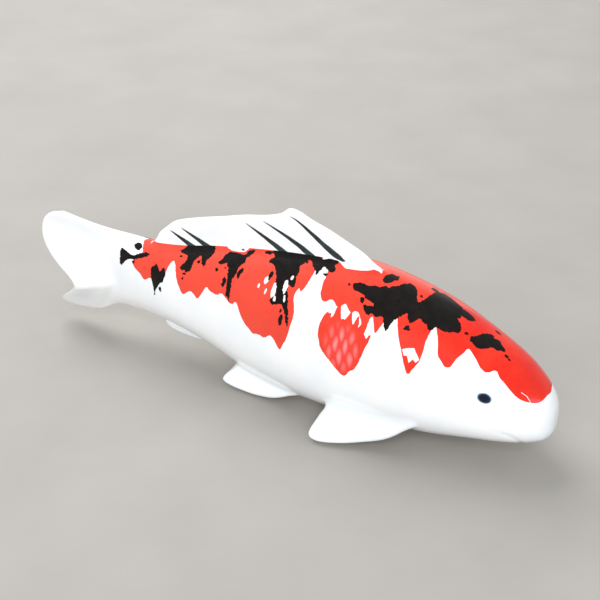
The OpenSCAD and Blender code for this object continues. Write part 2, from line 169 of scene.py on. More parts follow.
# Station, half width in percent of half the width, then ridge, widest line and belly in percent
# of the ridge height
bodyLines = [
    [0, 5, 33.5, 30, 26.5],
    [0.5, 26, 42.5, 30, 20],
    [2, 43.5, 51, 31, 16.5],
    [6, 64.5, 64, 33, 13],
    [12.5, 82, 77.5, 35.5, 9.5],
    [19.5, 95, 89, 39, 5],
    [28, 100, 98, 42.5, 1.8],
    [36, 100, 101.5, 45, 1],
    [44.5, 92, 99.5, 46.5, 1.5],
    [53, 80.5, 95, 47.5, 6.5],
    [61, 66, 89.5, 48.5, 16.5],
    [69, 51.5, 82.5, 50, 23],
    [76, 38.5, 79, 51, 25],
    [81, 29, 79.5, 52, 24.5],
]
# The lip's soft tooled line, down each side and under the chin: depth and half width in
# millimetres, and the share of its length in which it fades in
lip = {"path": [(8.2, 96), (6.6, 101), (5.2, 108), (4.4, 120), (4.1, 140), (4, 180)],
       "depth": 0.3, "spread": 1.4, "fade": 0.25, "steps": 120, "headEnds": 12, "pool": 1.2}
noseCap = 0.5  # station where the rounded nose cap ends


def noseLine(column, s, power):
    # behind the cap the line is the row's own, and inside it closes like a pebble's end
    axis = along(bodyLines, 3, np.maximum(s, noseCap)) if column != 1 else 0
    value = along(bodyLines, column, np.maximum(s, noseCap)) - axis
    return value * np.clip(s / noseCap, 0, 1) ** power + axis


def bodyPoint(s, a, inset=0):
    s, a = np.broadcast_arrays(np.asarray(s, float), np.radians(np.asarray(a, float)))
    high = bodyShape["ridgeHeight"] / 100
    halfWidth = noseLine(1, s, 0.37) * bodyShape["width"] / 200 - inset
    ridge = noseLine(2, s, 0.33) * high
    belly = noseLine(4, s, 0.28) * high
    widest = along(bodyLines, 3, np.maximum(s, noseCap)) * high
    up = np.where(np.cos(a) >= 0, ridge - widest, widest - belly) - inset
    power = 2 / bodyShape["squareness"]
    y = -halfWidth * np.sign(np.sin(a)) * np.abs(np.sin(a)) ** power
    z = widest + up * np.sign(np.cos(a)) * np.abs(np.cos(a)) ** power
    k = bodyShape["paredRound"]
    h = np.clip(0.5 + 0.5 * (z - bodyShape["paredAt"]) / k, 0, 1)
    z = mix(bodyShape["paredAt"], z, h) + k * h * (1 - h)
    return np.stack([bodyShape["length"] * (0.5 - s / 100), y, z], -1)


def bodyNormal(s, a):
    s = np.asarray(s, float)
    back = bodyPoint(s + 0.05, a) - bodyPoint(np.maximum(s - 0.05, 0), a)
    down = bodyPoint(s, np.add(a, 0.5)) - bodyPoint(s, np.subtract(a, 0.5))
    return unit(np.cross(back, down))


def lipCut(points):
    # how deep the lip's line cuts at each point
    depth = np.zeros(len(points))
    path = np.array(lip["path"], float)
    t = np.linspace(0, len(path) - 1, lip["steps"])
    rows = np.column_stack([np.arange(len(path)), path])
    s, a = along(rows, 1, t), along(rows, 2, t)
    for side in (1, -1):
        near = np.linalg.norm(points[:, None] - bodyPoint(s, a * side)[None], axis=2)
        share = near.argmin(1) / (len(t) - 1)
        cut = lip["depth"] * ease(share / lip["fade"]) * np.exp(-(near.min(1) / lip["spread"]) ** 2)
        depth = np.maximum(depth, cut)
    return depth


def makePiece(name, points, faces, material, replaced, normals=None, marks=None,
              creaseAngle=50):
    mesh = bpy.data.meshes.new(name)
    mesh.from_pydata([tuple(p) for p in np.asarray(points) * mm], [], faces)
    mesh.validate()
    work = bmesh.new()
    work.from_mesh(mesh)
    for face in work.faces:
        face.smooth = True
    for edge in work.edges:
        edge.smooth = edge.is_manifold and edge.calc_face_angle(0) < math.radians(creaseAngle)
    work.to_mesh(mesh)
    work.free()
    for key, values in (marks or {}).items():
        layer = mesh.attributes.new(key, "FLOAT_VECTOR" if np.ndim(values) == 2 else "FLOAT",
                                    "POINT")
        layer.data.foreach_set("vector" if np.ndim(values) == 2 else "value",
                               np.asarray(values, np.float32).ravel())
    if normals is not None:
        mesh.normals_split_custom_set_from_vertices([tuple(n) for n in normals])
    mesh.materials.append(material)
    piece = newObject(name, mesh)
    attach(piece, "root")
    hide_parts(*replaced)
    return piece


def gridFaces(rows, columns, closed=False, start=0):
    i, j = np.meshgrid(np.arange(rows - 1), np.arange(columns if closed else columns - 1),
                       indexing="ij")
    a = start + i * columns + j
    b = start + i * columns + (j + 1) % columns
    return np.stack([a, b, b + columns, a + columns], -1).reshape(-1, 4).tolist()


def flipped(faces):
    return [list(reversed(f)) for f in faces]


def withoutFlat(faces):
    # drops repeated corners, then faces with fewer than three left
    cleaned = []
    for f in faces:
        ring = [k for n, k in enumerate(f) if k != f[n - 1]]
        if len(set(ring)) > 2:
            cleaned.append(ring)
    return cleaned


def facesOut(points, faces):
    # the sign of the volume says which way the faces look
    total = 0
    for f in faces:
        a = points[f[0]]
        for k in range(1, len(f) - 1):
            total += np.dot(a, np.cross(points[f[k]], points[f[k + 1]]))
    return faces if total > 0 else flipped(faces)


def treeOf(points, faces):
    return BVHTree.FromPolygons([Vector(p) for p in points], faces)


def signedGap(tree, p, reach):
    place, normal, _, gap = tree.find_nearest(p, reach)
    if place is None:
        return None, None
    away = p - place
    if gap < 0.03:
        return away.dot(normal), normal
    side = 1 if away.dot(normal) > 0 else -1
    return side * gap, away * (side / gap)


def blendOnto(points, ownTree, otherTree, width, hidden=0.8):
    # Moves the points of one skin that lie near another onto the smooth union of the two, so
    # that both pieces follow one fillet where they are luted together. Gives the points, the
    # union's normals where it moved them, and how far each one moved.
    moved, normals = np.array(points, float), np.full(np.shape(points), np.nan)
    for n, start in enumerate(points):
        p = Vector(start)
        b, _ = signedGap(otherTree, p, width * 1.05)
        if b is None or b < -hidden or b > width:
            continue
        slope = None
        for _ in range(5):
            a, towardA = signedGap(ownTree, p, width * 3)
            b, towardB = signedGap(otherTree, p, width * 3)
            if a is None or b is None:
                break
            h = min(max(0.5 + 0.5 * (b - a) / width, 0), 1)
            field = b * (1 - h) + a * h - width * h * (1 - h)
            slope = towardB * (1 - h) + towardA * h
            p = p - slope * (field / max(slope.length_squared, 0.1))
        if slope is not None:
            moved[n] = p
            normals[n] = slope.normalized()
    return moved, normals, np.linalg.norm(moved - points, axis=1)


# How flat a blade's section is and how round its edges are, and how fast it thins from the root
blade = {"flatPower": 9, "edgePower": 3, "thinning": 1.25}


def bladeThickness(u, v, fin):
    power = mix(fin["rootPower"], blade["flatPower"], u)
    rounding = mix(fin["rootPower"], blade["edgePower"], u)
    edge = np.clip(1 - np.abs(2 * v - 1) ** power, 0, 1) ** (1 / rounding)
    margin = np.clip(1 - u ** fin["tipPower"], 0, 1) ** 0.5
    thickness = mix(fin["rootThickness"], fin["marginThickness"],
                    np.minimum(1, blade["thinning"] * u))
    return thickness * edge * margin


def rayPoint(fin, k, u):
    rows = np.column_stack([np.arange(len(fin["roots"])), fin["roots"], fin["tips"]])
    parts = np.stack([along(rows, c, k) for c in range(1, 7)], -1)
    return mix(parts[..., :3], parts[..., 3:], np.asarray(u)[..., None])


def bladePoints(fin, acrossSteps, outSteps):
    v = (1 - np.cos(np.pi * np.linspace(0, 1, acrossSteps + 1))) / 2
    u = np.sin(np.pi / 2 * np.linspace(0, 1, outSteps + 1))
    v, u = np.meshgrid(v, u, indexing="ij")
    middle = rayPoint(fin, v * (len(fin["roots"]) - 1), u)
    half = bladeThickness(u, v, fin)[..., None] / 2 * np.asarray(fin["face"])
    return middle - half, middle + half


def bladeMesh(front, back):
    # two sides that meet in one line round the margin, and a flat foot that the body hides
    rows, columns = front.shape[:2]
    points = np.concatenate([front.reshape(-1, 3), back.reshape(-1, 3)])
    size = rows * columns
    faces = flipped(gridFaces(rows, columns)) + gridFaces(rows, columns, start=size)
    faces += [[i * columns, (i + 1) * columns, size + (i + 1) * columns, size + i * columns]
              for i in range(rows - 1)]
    index = np.arange(2 * size)
    rim = np.zeros((rows, columns), bool)
    rim[0, :] = rim[-1, :] = rim[:, -1] = True
    twin = np.flatnonzero(rim.ravel())
    index[size + twin] = twin
    used, order = np.unique(index, return_inverse=True)
    return points[used], withoutFlat([[int(order[k]) for k in f] for f in faces])


def station(s):
    return bodyShape["length"] * (0.5 - s / 100)


def ridgeAt(s):
    return float(bodyPoint(s, 0)[2])


def bellyAt(s):
    return float(bodyPoint(s, 180)[2])


# Root station, the tip's distance behind the root, and the tip's height as a share of the rise
dorsal = {
    "rise": 24, "rootThickness": 4.8, "marginThickness": 3.2, "rootPower": 3, "tipPower": 12,
    "bite": 6, "fillet": 5, "face": (0, 1, 0),
    "plan": [
        (31.2, 0.5, 0.04), (32, 6, 0.27), (33, 12, 0.43), (34.7, 17, 0.63), (36.7, 21, 0.81),
        (38.4, 22.5, 0.96), (39.8, 23.5, 1), (41, 25, 0.87), (43.5, 26, 0.8), (47.5, 26, 0.77),
        (52.5, 24, 0.71), (58, 22, 0.68), (63.5, 19, 0.6), (67.7, 13, 0.43), (70.8, 8.5, 0.26),
        (73, 4, 0.08),
    ],
}
dorsal["roots"] = [(station(s), 0, ridgeAt(s) - dorsal["bite"])
                   for s, back, share in dorsal["plan"]]
dorsal["tips"] = [(station(s) - back, 0, ridgeAt(s + back / 3) + share * dorsal["rise"])
                  for s, back, share in dorsal["plan"]]

# Root station, the tip's distance behind it, and its drop as a share of the fin's
anal = {
    "drop": 7, "rootThickness": 4.2, "marginThickness": 3.2, "rootPower": 3, "tipPower": 12,
    "bite": 4, "fillet": 2.4, "face": (0, -1, 0),
    "plan": [(62.5, 2, 0.35), (64.5, 4, 0.8), (66.5, 6, 1), (68.5, 8.5, 1), (70, 9.5, 0.75),
             (71.3, 7, 0.3)],
}
anal["roots"] = [(station(s), 0, bellyAt(s) + anal["bite"]) for s, back, share in anal["plan"]]
anal["tips"] = [(station(s) - back, 0, bellyAt(s) - share * anal["drop"])
                for s, back, share in anal["plan"]]

# Root station and angle, the tip's distance behind it, its reach as a share, and its height
# over the table as a share of the root's
pectoral = {
    "reach": 17, "rootThickness": 11, "marginThickness": 4.6, "rootPower": 3, "tipPower": 12,
    "bite": 6, "fillet": 4.2,
    "plan": [
        (20.5, 116, 0.5, 0.02, 0.93), (22.5, 122, 6, 0.3, 0.52), (25.5, 126, 10, 0.6, 0.3),
        (28.5, 129, 11, 0.85, 0.2), (31, 130, 13, 1, 0.16), (33, 130, 12.5, 0.88, 0.22),
        (34.3, 130, 8, 0.48, 0.5), (35.2, 130, 3.5, 0.2, 0.8),
    ],
}
pelvic = {
    "reach": 8, "rootThickness": 7, "marginThickness": 3.2, "rootPower": 3, "tipPower": 12,
    "bite": 6, "fillet": 3.2,
    "plan": [
        (43, 138, 0.5, 0.02, 0.9), (45, 144, 6, 0.45, 0.42), (47.5, 149, 8, 0.8, 0.24),
        (50, 152, 9, 0.98, 0.2), (52, 153, 12, 1, 0.24), (53.3, 153, 13.5, 0.82, 0.34),
        (54.3, 153, 9, 0.28, 0.55), (55, 153, 4, 0.1, 0.85),
    ],
}
tableGap = 0.3  # under the paired fins
for fin in (pectoral, pelvic):
    fin["face"] = unit(np.array([0, -0.35, 1.0]))
    fin["roots"], fin["tips"] = [], []
    for s, a, back, share, height in fin["plan"]:
        root = bodyPoint(s, a)
        fin["roots"].append(root - fin["bite"] * bodyNormal(s, a))
        fin["tips"].append((root[0] - back, root[1] - share * fin["reach"],
                            tableGap + height * root[2]))


def flatUnder(points, level, k=1.6):
    # a softly pared underside: nothing goes below the level
    z = points[..., 2]
    h = np.clip(0.5 + 0.5 * (z - level) / k, 0, 1)
    points[..., 2] = mix(level, z, h) + k * h * (1 - h)
    return points


def mirrored(points):
    return points * np.array([1, -1, 1])


# Height at the root in percent, the tip's distance behind it, the tip's height and cup as
# shares, and the ray's bow upward and to the left. The tail keeps the body's own taper for a
# share of its length, which is larger below than above
tail = {
    "halfSpan": 30, "cup": 14, "marginThickness": 3.2, "lengthShare": 57 / 59.1,
    "across": 110, "out": 90, "crowding": 1.15, "tipPower": 12, "thinning": 1.6, "hangs": 3,
    "ownTaperBelow": 0.52, "ownTaperAbove": 0.34,
    "plan": [
        (0, 43, -0.98, 0.05, -2.6, 0), (9, 48, -0.9, 0.2, -2.4, -1),
        (18, 44, -0.72, 0.45, -1.4, -2), (28, 35, -0.47, 0.78, 0, -3),
        (37, 29, -0.26, 1, 0, -3), (46, 33, -0.12, 0.9, 0, -3),
        (55, 43, 0, 0.65, 0, -3), (65, 53, 0.17, 0.36, 0, -2), (75, 58.5, 0.4, 0.15, 0, -1),
        (85, 58.5, 0.67, 0, 0, 0), (93, 53, 0.86, 0, 0.8, 0), (100, 44, 0.96, 0, -1.2, 0),
    ],
}


def tailSide(side):
    root = bodyShape["tailRoot"]
    v = (1 - np.cos(np.pi * np.linspace(0, 1, tail["across"] + 1))) / 2
    u = np.sin(np.pi / 2 * np.linspace(0, 1, tail["out"] + 1)) ** tail["crowding"]
    v, u = np.meshgrid(v, u, indexing="ij")
    start = bodyPoint(root, 180 * (1 - v))
    step, stepLength = 0.6, 1.8  # in percent of the length and in millimetres
    slope = (start - bodyPoint(root - step, 180 * (1 - v))) / stepLength
    low, high = bellyAt(root), ridgeAt(root)
    share = 100 * (start[..., 2] - low) / (high - low)
    middle = (low + high) / 2 - tail["hangs"]
    reach = along(tail["plan"], 1, share) * tail["lengthShare"]
    tip = np.stack([start[..., 0] - reach, -along(tail["plan"], 3, share) * tail["cup"],
                    middle + along(tail["plan"], 2, share) * tail["halfSpan"]], -1)
    bow = np.stack([0 * u, along(tail["plan"], 5, share), along(tail["plan"], 4, share)], -1)
    centre = start * np.array([1, 0, 1])
    path = mix(centre, tip, u[..., None]) + (4 * u * (1 - u))[..., None] * bow
    rim = (np.clip(1 - np.abs(2 * v - 1) ** blade["flatPower"], 0, 1) ** (1 / blade["edgePower"])
           * np.clip(1 - u ** tail["tipPower"], 0, 1) ** 0.5)
    thin = np.clip(tail["thinning"] * u, 0, 1)
    half = mix(-start[..., 1], tail["marginThickness"] / 2 * rim, thin * (2 - thin))
    # the root leaves the body along the body's own taper
    run = u * reach
    ownPath = centre + run[..., None] * slope * np.array([1, 0, 1])
    ownHalf = -start[..., 1] - run * slope[..., 1]
    w = ease(u / mix(tail["ownTaperBelow"], tail["ownTaperAbove"], ease(v / 0.5)))
    path = mix(ownPath, path, w[..., None])
    half = np.maximum(mix(ownHalf, half, w), 0) * np.where((v > 0) & (v < 1), 1, 0)
    half = half * np.where(u < 1, 1, 0)
    return path + side * half[..., None] * np.array([0, 1, 0])


def newMaterial(name):
    material = bpy.data.materials.new(name)
    material.use_nodes = True
    material.node_tree.nodes.clear()
    return material, material.node_tree


# Slip-cast hard porcelain under a clear glaze: a cold, bright white with wet highlights, a faint
# blue-green where the glaze pools in a fillet, and a slow ripple that bends reflections
glaze = {"white": "#fdfdfc", "cool": "#f4f8fa", "pool": "#f2f8f9", "cloud": 22, "ripple": 9,
         "rippleDepth": 0.05, "pinhole": 1.1}


def makeGlaze():
    material, tree = newMaterial("clearGlazedPorcelain")
    spot = addNode(tree, "ShaderNodeTexCoord").outputs["Object"]
    cloud = addNode(tree, "ShaderNodeTexNoise", {"Vector": spot, "Scale": perMetre(glaze["cloud"]),
                                                 "Detail": 3.0, "Roughness": 0.5})
    ground = addNode(tree, "ShaderNodeValToRGB", {"Fac": cloud.outputs["Fac"]},
                     [(0.3, glaze["white"]), (0.75, glaze["cool"])])
    pool = addNode(tree, "ShaderNodeAttribute", attribute_name="glazePool")
    # sockets 0, 6 and 7 are the colour mix's factor and its two colours
    tinted = addNode(tree, "ShaderNodeMix", {0: pool.outputs["Fac"], 6: ground.outputs["Color"],
                                             7: linear(glaze["pool"])}, data_type="RGBA")
    ripple = addNode(tree, "ShaderNodeTexNoise", {
        "Vector": spot, "Scale": perMetre(glaze["ripple"]), "Detail": 2.0, "Roughness": 0.4})
    grain = addNode(tree, "ShaderNodeTexNoise", {
        "Vector": spot, "Scale": perMetre(glaze["pinhole"]), "Detail": 2.0, "Roughness": 0.6})
    rough = addNode(tree, "ShaderNodeMapRange", {"Value": grain.outputs["Fac"], "To Min": 0.06,
                                                 "To Max": 0.13})
    wave = addNode(tree, "ShaderNodeBump", {"Height": ripple.outputs["Fac"], "Strength": 0.35,
                                            "Distance": glaze["rippleDepth"] * mm})
    shader = addNode(tree, "ShaderNodeBsdfPrincipled", {
        "Base Color": tinted.outputs[2], "Roughness": rough.outputs["Result"],
        "Normal": wave.outputs["Normal"], "IOR": 1.5, "Coat Weight": 0.6, "Coat Roughness": 0.03,
        "Coat IOR": 1.5, "Subsurface Weight": 0.06, "Subsurface Scale": 2 * mm})
    addNode(tree, "ShaderNodeOutputMaterial", {"Surface": shader.outputs["BSDF"]})
    return material


# On-glaze iron and selenium red, laid as a transfer and fired at a low heat: a hot orange red
# with a slightly cloudy depth, less wet than the glaze round it. Painted light: it is painted paler
# from the head towards the tail, for a mid-body lit brighter than the forehead, which faces away
redEnamel = {"deep": "#dd1b08", "middle": "#e8280f", "warm": "#ef3a1f", "paintedLitRed": "#f2604a",
             "paintedLightShare": 0.45, "litFrom": 45, "litTo": 150, "cloud": 14, "grain": 0.9}


def makeRed(name, scaled):
    material, tree = newMaterial(name)
    spot = addNode(tree, "ShaderNodeTexCoord").outputs["Object"]
    cloud = addNode(tree, "ShaderNodeTexNoise", {
        "Vector": spot, "Scale": perMetre(redEnamel["cloud"]), "Detail": 4.0, "Roughness": 0.6})
    colour = addNode(tree, "ShaderNodeValToRGB", {"Fac": cloud.outputs["Fac"]}, [
        (0.25, redEnamel["deep"]), (0.5, redEnamel["middle"]),
        (0.78, redEnamel["warm"])])
    place = addNode(tree, "ShaderNodeAttribute", attribute_name="flankPlace")
    behindNose = addNode(tree, "ShaderNodeSeparateXYZ", {"Vector": place.outputs["Vector"]})
    # painted light: mixes more of the paler lit red in from the head towards the tail
    thinning = addNode(tree, "ShaderNodeMapRange", {
        "Value": behindNose.outputs["X"], "From Min": redEnamel["litFrom"],
        "From Max": redEnamel["litTo"], "To Max": redEnamel["paintedLightShare"]})
    colour = addNode(tree, "ShaderNodeMix", {
        0: thinning.outputs["Result"], 6: colour.outputs["Color"],
        7: linear(redEnamel["paintedLitRed"])}, data_type="RGBA").outputs[2]
    if scaled:
        colour = scaleNetAndGlint(tree, colour)
    grain = addNode(tree, "ShaderNodeTexNoise", {
        "Vector": spot, "Scale": perMetre(redEnamel["grain"]), "Detail": 2.0, "Roughness": 0.6})
    rough = addNode(tree, "ShaderNodeMapRange", {"Value": grain.outputs["Fac"], "To Min": 0.14,
                                                 "To Max": 0.26})
    wave = addNode(tree, "ShaderNodeBump", {"Height": grain.outputs["Fac"], "Strength": 0.15,
                                            "Distance": 0.02 * mm})
    shader = addNode(tree, "ShaderNodeBsdfPrincipled", {
        "Base Color": colour, "Roughness": rough.outputs["Result"],
        "Normal": wave.outputs["Normal"], "IOR": 1.52, "Specular IOR Level": 0.3,
        "Coat Weight": 0.3, "Coat Roughness": 0.05, "Coat IOR": 1.5})
    addNode(tree, "ShaderNodeOutputMaterial", {"Surface": shader.outputs["BSDF"]})
    return material


# The flank's patch has overlapping scales: pale ovals between darker red arcs. They are partly
# printed scales and partly a painted highlight, the light glinting on them, so they fade out round
# one spot
printAndGlintScales = {"long": 5.6, "tall": 9.4, "ovalLong": 0.3, "ovalTall": 0.38,
              "middle": (100, 43, 0), "fadesFrom": 4, "fadesTo": 11.5,
              "wander": 1.6, "wanderScale": 0.16,
              "net": "#ee3f36", "oval": "#f5655f", "heart": "#f98d8b"}


def scaleNetAndGlint(tree, colour):
    flank = addNode(tree, "ShaderNodeAttribute", attribute_name="flankPlace")
    wobble = addNode(tree, "ShaderNodeTexNoise", {
        "Vector": flank.outputs["Vector"], "Scale": printAndGlintScales["wanderScale"], "Detail": 1.0})
    shift = addNode(tree, "ShaderNodeVectorMath", {
        0: wobble.outputs["Color"], "Scale": printAndGlintScales["wander"]}, operation="SCALE")
    at = addNode(tree, "ShaderNodeVectorMath", {0: flank.outputs["Vector"],
                                                1: shift.outputs["Vector"]}, operation="ADD")
    cell = addNode(tree, "ShaderNodeVectorMath", {
        0: at.outputs["Vector"], 1: (1 / printAndGlintScales["long"], 1 / printAndGlintScales["tall"], 0)},
        operation="MULTIPLY")
    nearest = None
    for half in (0, 0.5):  # each row of scales is set half a scale along from the last
        shifted = addNode(tree, "ShaderNodeVectorMath", {0: cell.outputs["Vector"],
                                                         1: (half, half, 0)}, operation="ADD")
        part = addNode(tree, "ShaderNodeVectorMath", {0: shifted.outputs["Vector"]},
                       operation="FRACTION")
        centred = addNode(tree, "ShaderNodeVectorMath", {0: part.outputs["Vector"],
                                                         1: (0.5, 0.5, 0)}, operation="SUBTRACT")
        sized = addNode(tree, "ShaderNodeVectorMath", {
            0: centred.outputs["Vector"],
            1: (1 / printAndGlintScales["ovalLong"], 1 / printAndGlintScales["ovalTall"], 0)}, operation="MULTIPLY")
        length = addNode(tree, "ShaderNodeVectorMath", {0: sized.outputs["Vector"]},
                         operation="LENGTH").outputs["Value"]
        nearest = length if nearest is None else addNode(
            tree, "ShaderNodeMath", {0: nearest, 1: length}, operation="MINIMUM").outputs["Value"]
    ovals = addNode(tree, "ShaderNodeValToRGB", {"Fac": nearest}, [
        (0.2, printAndGlintScales["heart"]), (0.75, printAndGlintScales["oval"]), (1, printAndGlintScales["net"])])
    # painted highlight: the scales' glint fades out with distance from one spot
    away = addNode(tree, "ShaderNodeVectorMath", {0: at.outputs["Vector"], 1: printAndGlintScales["middle"]},
                   operation="DISTANCE")
    fade = addNode(tree, "ShaderNodeMapRange", {
        "Value": away.outputs["Value"], "From Min": printAndGlintScales["fadesFrom"],
        "From Max": printAndGlintScales["fadesTo"]}, interpolation_type="SMOOTHSTEP")
    return addNode(tree, "ShaderNodeMix", {0: fade.outputs["Result"], 6: ovals.outputs["Color"],
                                           7: colour}, data_type="RGBA").outputs[2]


# On-glaze black, laid thick: nearly black with a brown warmth where it is thinner. The fin's
# strokes are brushed on, so the glaze greys them
blackEnamel = {"full": "#120e0c", "thin": "#1f1a18", "brushFull": "#262c2b",
               "brushThin": "#414a49", "cloud": 5}


def makeBlack(name, full, thin):
    material, tree = newMaterial(name)
    spot = addNode(tree, "ShaderNodeTexCoord").outputs["Object"]
    cloud = addNode(tree, "ShaderNodeTexNoise", {
        "Vector": spot, "Scale": perMetre(blackEnamel["cloud"]), "Detail": 4.0, "Roughness": 0.65})
    colour = addNode(tree, "ShaderNodeValToRGB", {"Fac": cloud.outputs["Fac"]},
                     [(0.35, full), (0.8, thin)])
    rough = addNode(tree, "ShaderNodeMapRange", {"Value": cloud.outputs["Fac"], "To Min": 0.16,
                                                 "To Max": 0.34})
    wave = addNode(tree, "ShaderNodeBump", {"Height": cloud.outputs["Fac"], "Strength": 0.2,
                                            "Distance": 0.03 * mm})
    shader = addNode(tree, "ShaderNodeBsdfPrincipled", {
        "Base Color": colour.outputs["Color"], "Roughness": rough.outputs["Result"],
        "Normal": wave.outputs["Normal"], "IOR": 1.5, "Specular IOR Level": 0.14,
        "Coat Weight": 0.05, "Coat Roughness": 0.06, "Coat IOR": 1.5})
    addNode(tree, "ShaderNodeOutputMaterial", {"Surface": shader.outputs["BSDF"]})
    return material


# Cobalt and black enamel dropped on as an oval: navy at the heart, a soft blue halo at its edge
eyeEnamel = {"heart": "#0c121d", "middle": "#16223a", "halo": "#6f8aa6", "edge": "#dbe8f0",
             "blot": 1.4, "strays": 0.08}


def makeEye():
    material, tree = newMaterial("cobaltBlackEnamel")
    ring = addNode(tree, "ShaderNodeAttribute", attribute_name="fromMiddle")
    spot = addNode(tree, "ShaderNodeTexCoord").outputs["Object"]
    blot = addNode(tree, "ShaderNodeTexNoise", {"Vector": spot, "Detail": 3.0,
                                                "Scale": perMetre(eyeEnamel["blot"])})
    uneven = addNode(tree, "ShaderNodeMath", {
        0: blot.outputs["Fac"], 1: 2 * eyeEnamel["strays"], 2: -eyeEnamel["strays"]},
        operation="MULTIPLY_ADD")
    factor = addNode(tree, "ShaderNodeMath", {0: ring.outputs["Fac"], 1: uneven.outputs["Value"]},
                     operation="ADD")
    colour = addNode(tree, "ShaderNodeValToRGB", {"Fac": factor.outputs["Value"]}, [
        (0.35, eyeEnamel["heart"]), (0.74, eyeEnamel["middle"]), (0.88, eyeEnamel["halo"]),
        (1, eyeEnamel["edge"])])
    wave = addNode(tree, "ShaderNodeBump", {"Height": blot.outputs["Fac"], "Strength": 0.2,
                                            "Distance": 0.02 * mm})
    shader = addNode(tree, "ShaderNodeBsdfPrincipled", {
        "Base Color": colour.outputs["Color"], "Roughness": 0.1, "Normal": wave.outputs["Normal"],
        "IOR": 1.5, "Specular IOR Level": 0.25, "Coat Weight": 0.2, "Coat Roughness": 0.03,
        "Coat IOR": 1.5})
    addNode(tree, "ShaderNodeOutputMaterial", {"Surface": shader.outputs["BSDF"]})
    return material


# Unglazed fired porcelain, ground flat on a wheel: matt warm white with grey rub marks
bisque = {"clean": "#ece6da", "rubbed": "#b9b1a4", "grain": 0.5, "rub": 7}


def makeBisque():
    material, tree = newMaterial("groundBisquePorcelain")
    spot = addNode(tree, "ShaderNodeTexCoord").outputs["Object"]
    rub = addNode(tree, "ShaderNodeTexNoise", {"Vector": spot, "Scale": perMetre(bisque["rub"]),
                                               "Detail": 5.0, "Roughness": 0.7})
    colour = addNode(tree, "ShaderNodeValToRGB", {"Fac": rub.outputs["Fac"]},
                     [(0.45, bisque["clean"]), (0.8, bisque["rubbed"])])
    grain = addNode(tree, "ShaderNodeTexNoise", {"Vector": spot, "Scale": perMetre(bisque["grain"]),
                                                 "Detail": 3.0, "Roughness": 0.7})
    rough = addNode(tree, "ShaderNodeMapRange", {"Value": rub.outputs["Fac"], "To Min": 0.6,
                                                 "To Max": 0.8})
    wave = addNode(tree, "ShaderNodeBump", {"Height": grain.outputs["Fac"], "Strength": 0.5,
                                            "Distance": 0.05 * mm})
    shader = addNode(tree, "ShaderNodeBsdfPrincipled", {
        "Base Color": colour.outputs["Color"], "Roughness": rough.outputs["Result"],
        "Normal": wave.outputs["Normal"], "IOR": 1.5})
    addNode(tree, "ShaderNodeOutputMaterial", {"Surface": shader.outputs["BSDF"]})
    return material


# A plain pale painted floor with the faintest mottling
floorPaint = {"light": "#a7a29a", "dark": "#a19c94", "mottle": 60, "halfSize": 12}


def makeFloorPaint():
    material, tree = newMaterial("matPaintedBoard")
    spot = addNode(tree, "ShaderNodeTexCoord").outputs["Object"]
    mottle = addNode(tree, "ShaderNodeTexNoise", {"Vector": spot, "Detail": 3.0,
                                                  "Scale": perMetre(floorPaint["mottle"])})
    colour = addNode(tree, "ShaderNodeValToRGB", {"Fac": mottle.outputs["Fac"]},
                     [(0.3, floorPaint["light"]), (0.7, floorPaint["dark"])])
    shader = addNode(tree, "ShaderNodeBsdfPrincipled", {
        "Base Color": colour.outputs["Color"], "Roughness": 0.55, "IOR": 1.45})
    addNode(tree, "ShaderNodeOutputMaterial", {"Surface": shader.outputs["BSDF"]})
    return material


porcelain = makeGlaze()
red = makeRed("redOnGlazeEnamel", False)
# the flank's red, with scales that are partly print and partly a painted highlight
scaledRed = makeRed("redEnamelWithScalesAndGlint", True)
black = makeBlack("blackOnGlazeEnamel", blackEnamel["full"], blackEnamel["thin"])
brushed = makeBlack("brushedBlackEnamel", blackEnamel["brushFull"], blackEnamel["brushThin"])
navy = makeEye()
bare = makeBisque()
print("koi: materials made")


def stations():
    # a share of the hoops crowds the blunt nose
    t = np.linspace(0, 1, bodyShape["hoops"] + 1)
    nose, end = bodyShape["noseHoops"], bodyShape["noseTo"]
    return np.where(t < nose, end * (t / nose) ** bodyShape["noseCrowding"],
                    mix(end, bodyShape["tailRoot"], (t - nose) / (1 - nose)))


foot = {"length": 42, "width": 17, "height": 3, "wall": 3.5, "round": 0.6, "steps": 160}

hoopStations = stations()[1:]
hoopAngles = np.arange(bodyShape["around"]) * 360 / bodyShape["around"]
gridS, gridA = np.meshgrid(hoopStations, hoopAngles, indexing="ij")
hoopPoints = bodyPoint(gridS, gridA).reshape(-1, 3)
noseTip = bodyPoint(0, 0) * np.array([1, 0, 1])
around, hoopCount = bodyShape["around"], len(hoopStations)
bodyFaces = gridFaces(hoopCount, around, closed=True)
tipIndex = hoopCount * around
bodyFaces += [[tipIndex, (j + 1) % around, j] for j in range(around)]
bodyFaces += [[(hoopCount - 1) * around + j for j in range(around)]]
bodyRaw = np.vstack([hoopPoints, noseTip])
bodyFaces = facesOut(bodyRaw, bodyFaces)
bodyTree = treeOf(bodyRaw, bodyFaces)

finBlanks = {
    "dorsal_fin": (dorsal, *bladeMesh(*bladePoints(dorsal, 220, 40))),
    "anal_fin": (anal, *bladeMesh(*bladePoints(anal, 60, 24))),
}
for label, fin in (("pectoral_fin", pectoral), ("pelvic_fin", pelvic)):
    points, faces = bladeMesh(*bladePoints(fin, 120, 80))
    points = flatUnder(points, tableGap)
    finBlanks["right_" + label] = (fin, points, faces)
    finBlanks["left_" + label] = (fin, mirrored(points), flipped(faces))

bodyPoints = bodyRaw.copy()
pool = np.zeros(len(bodyPoints))
finTrees = {}


def pooled(shift, width):
    # the glaze is pooled in full where the fillet moves the skin by a quarter of its width
    return np.clip(shift / width * 4, 0, 1)


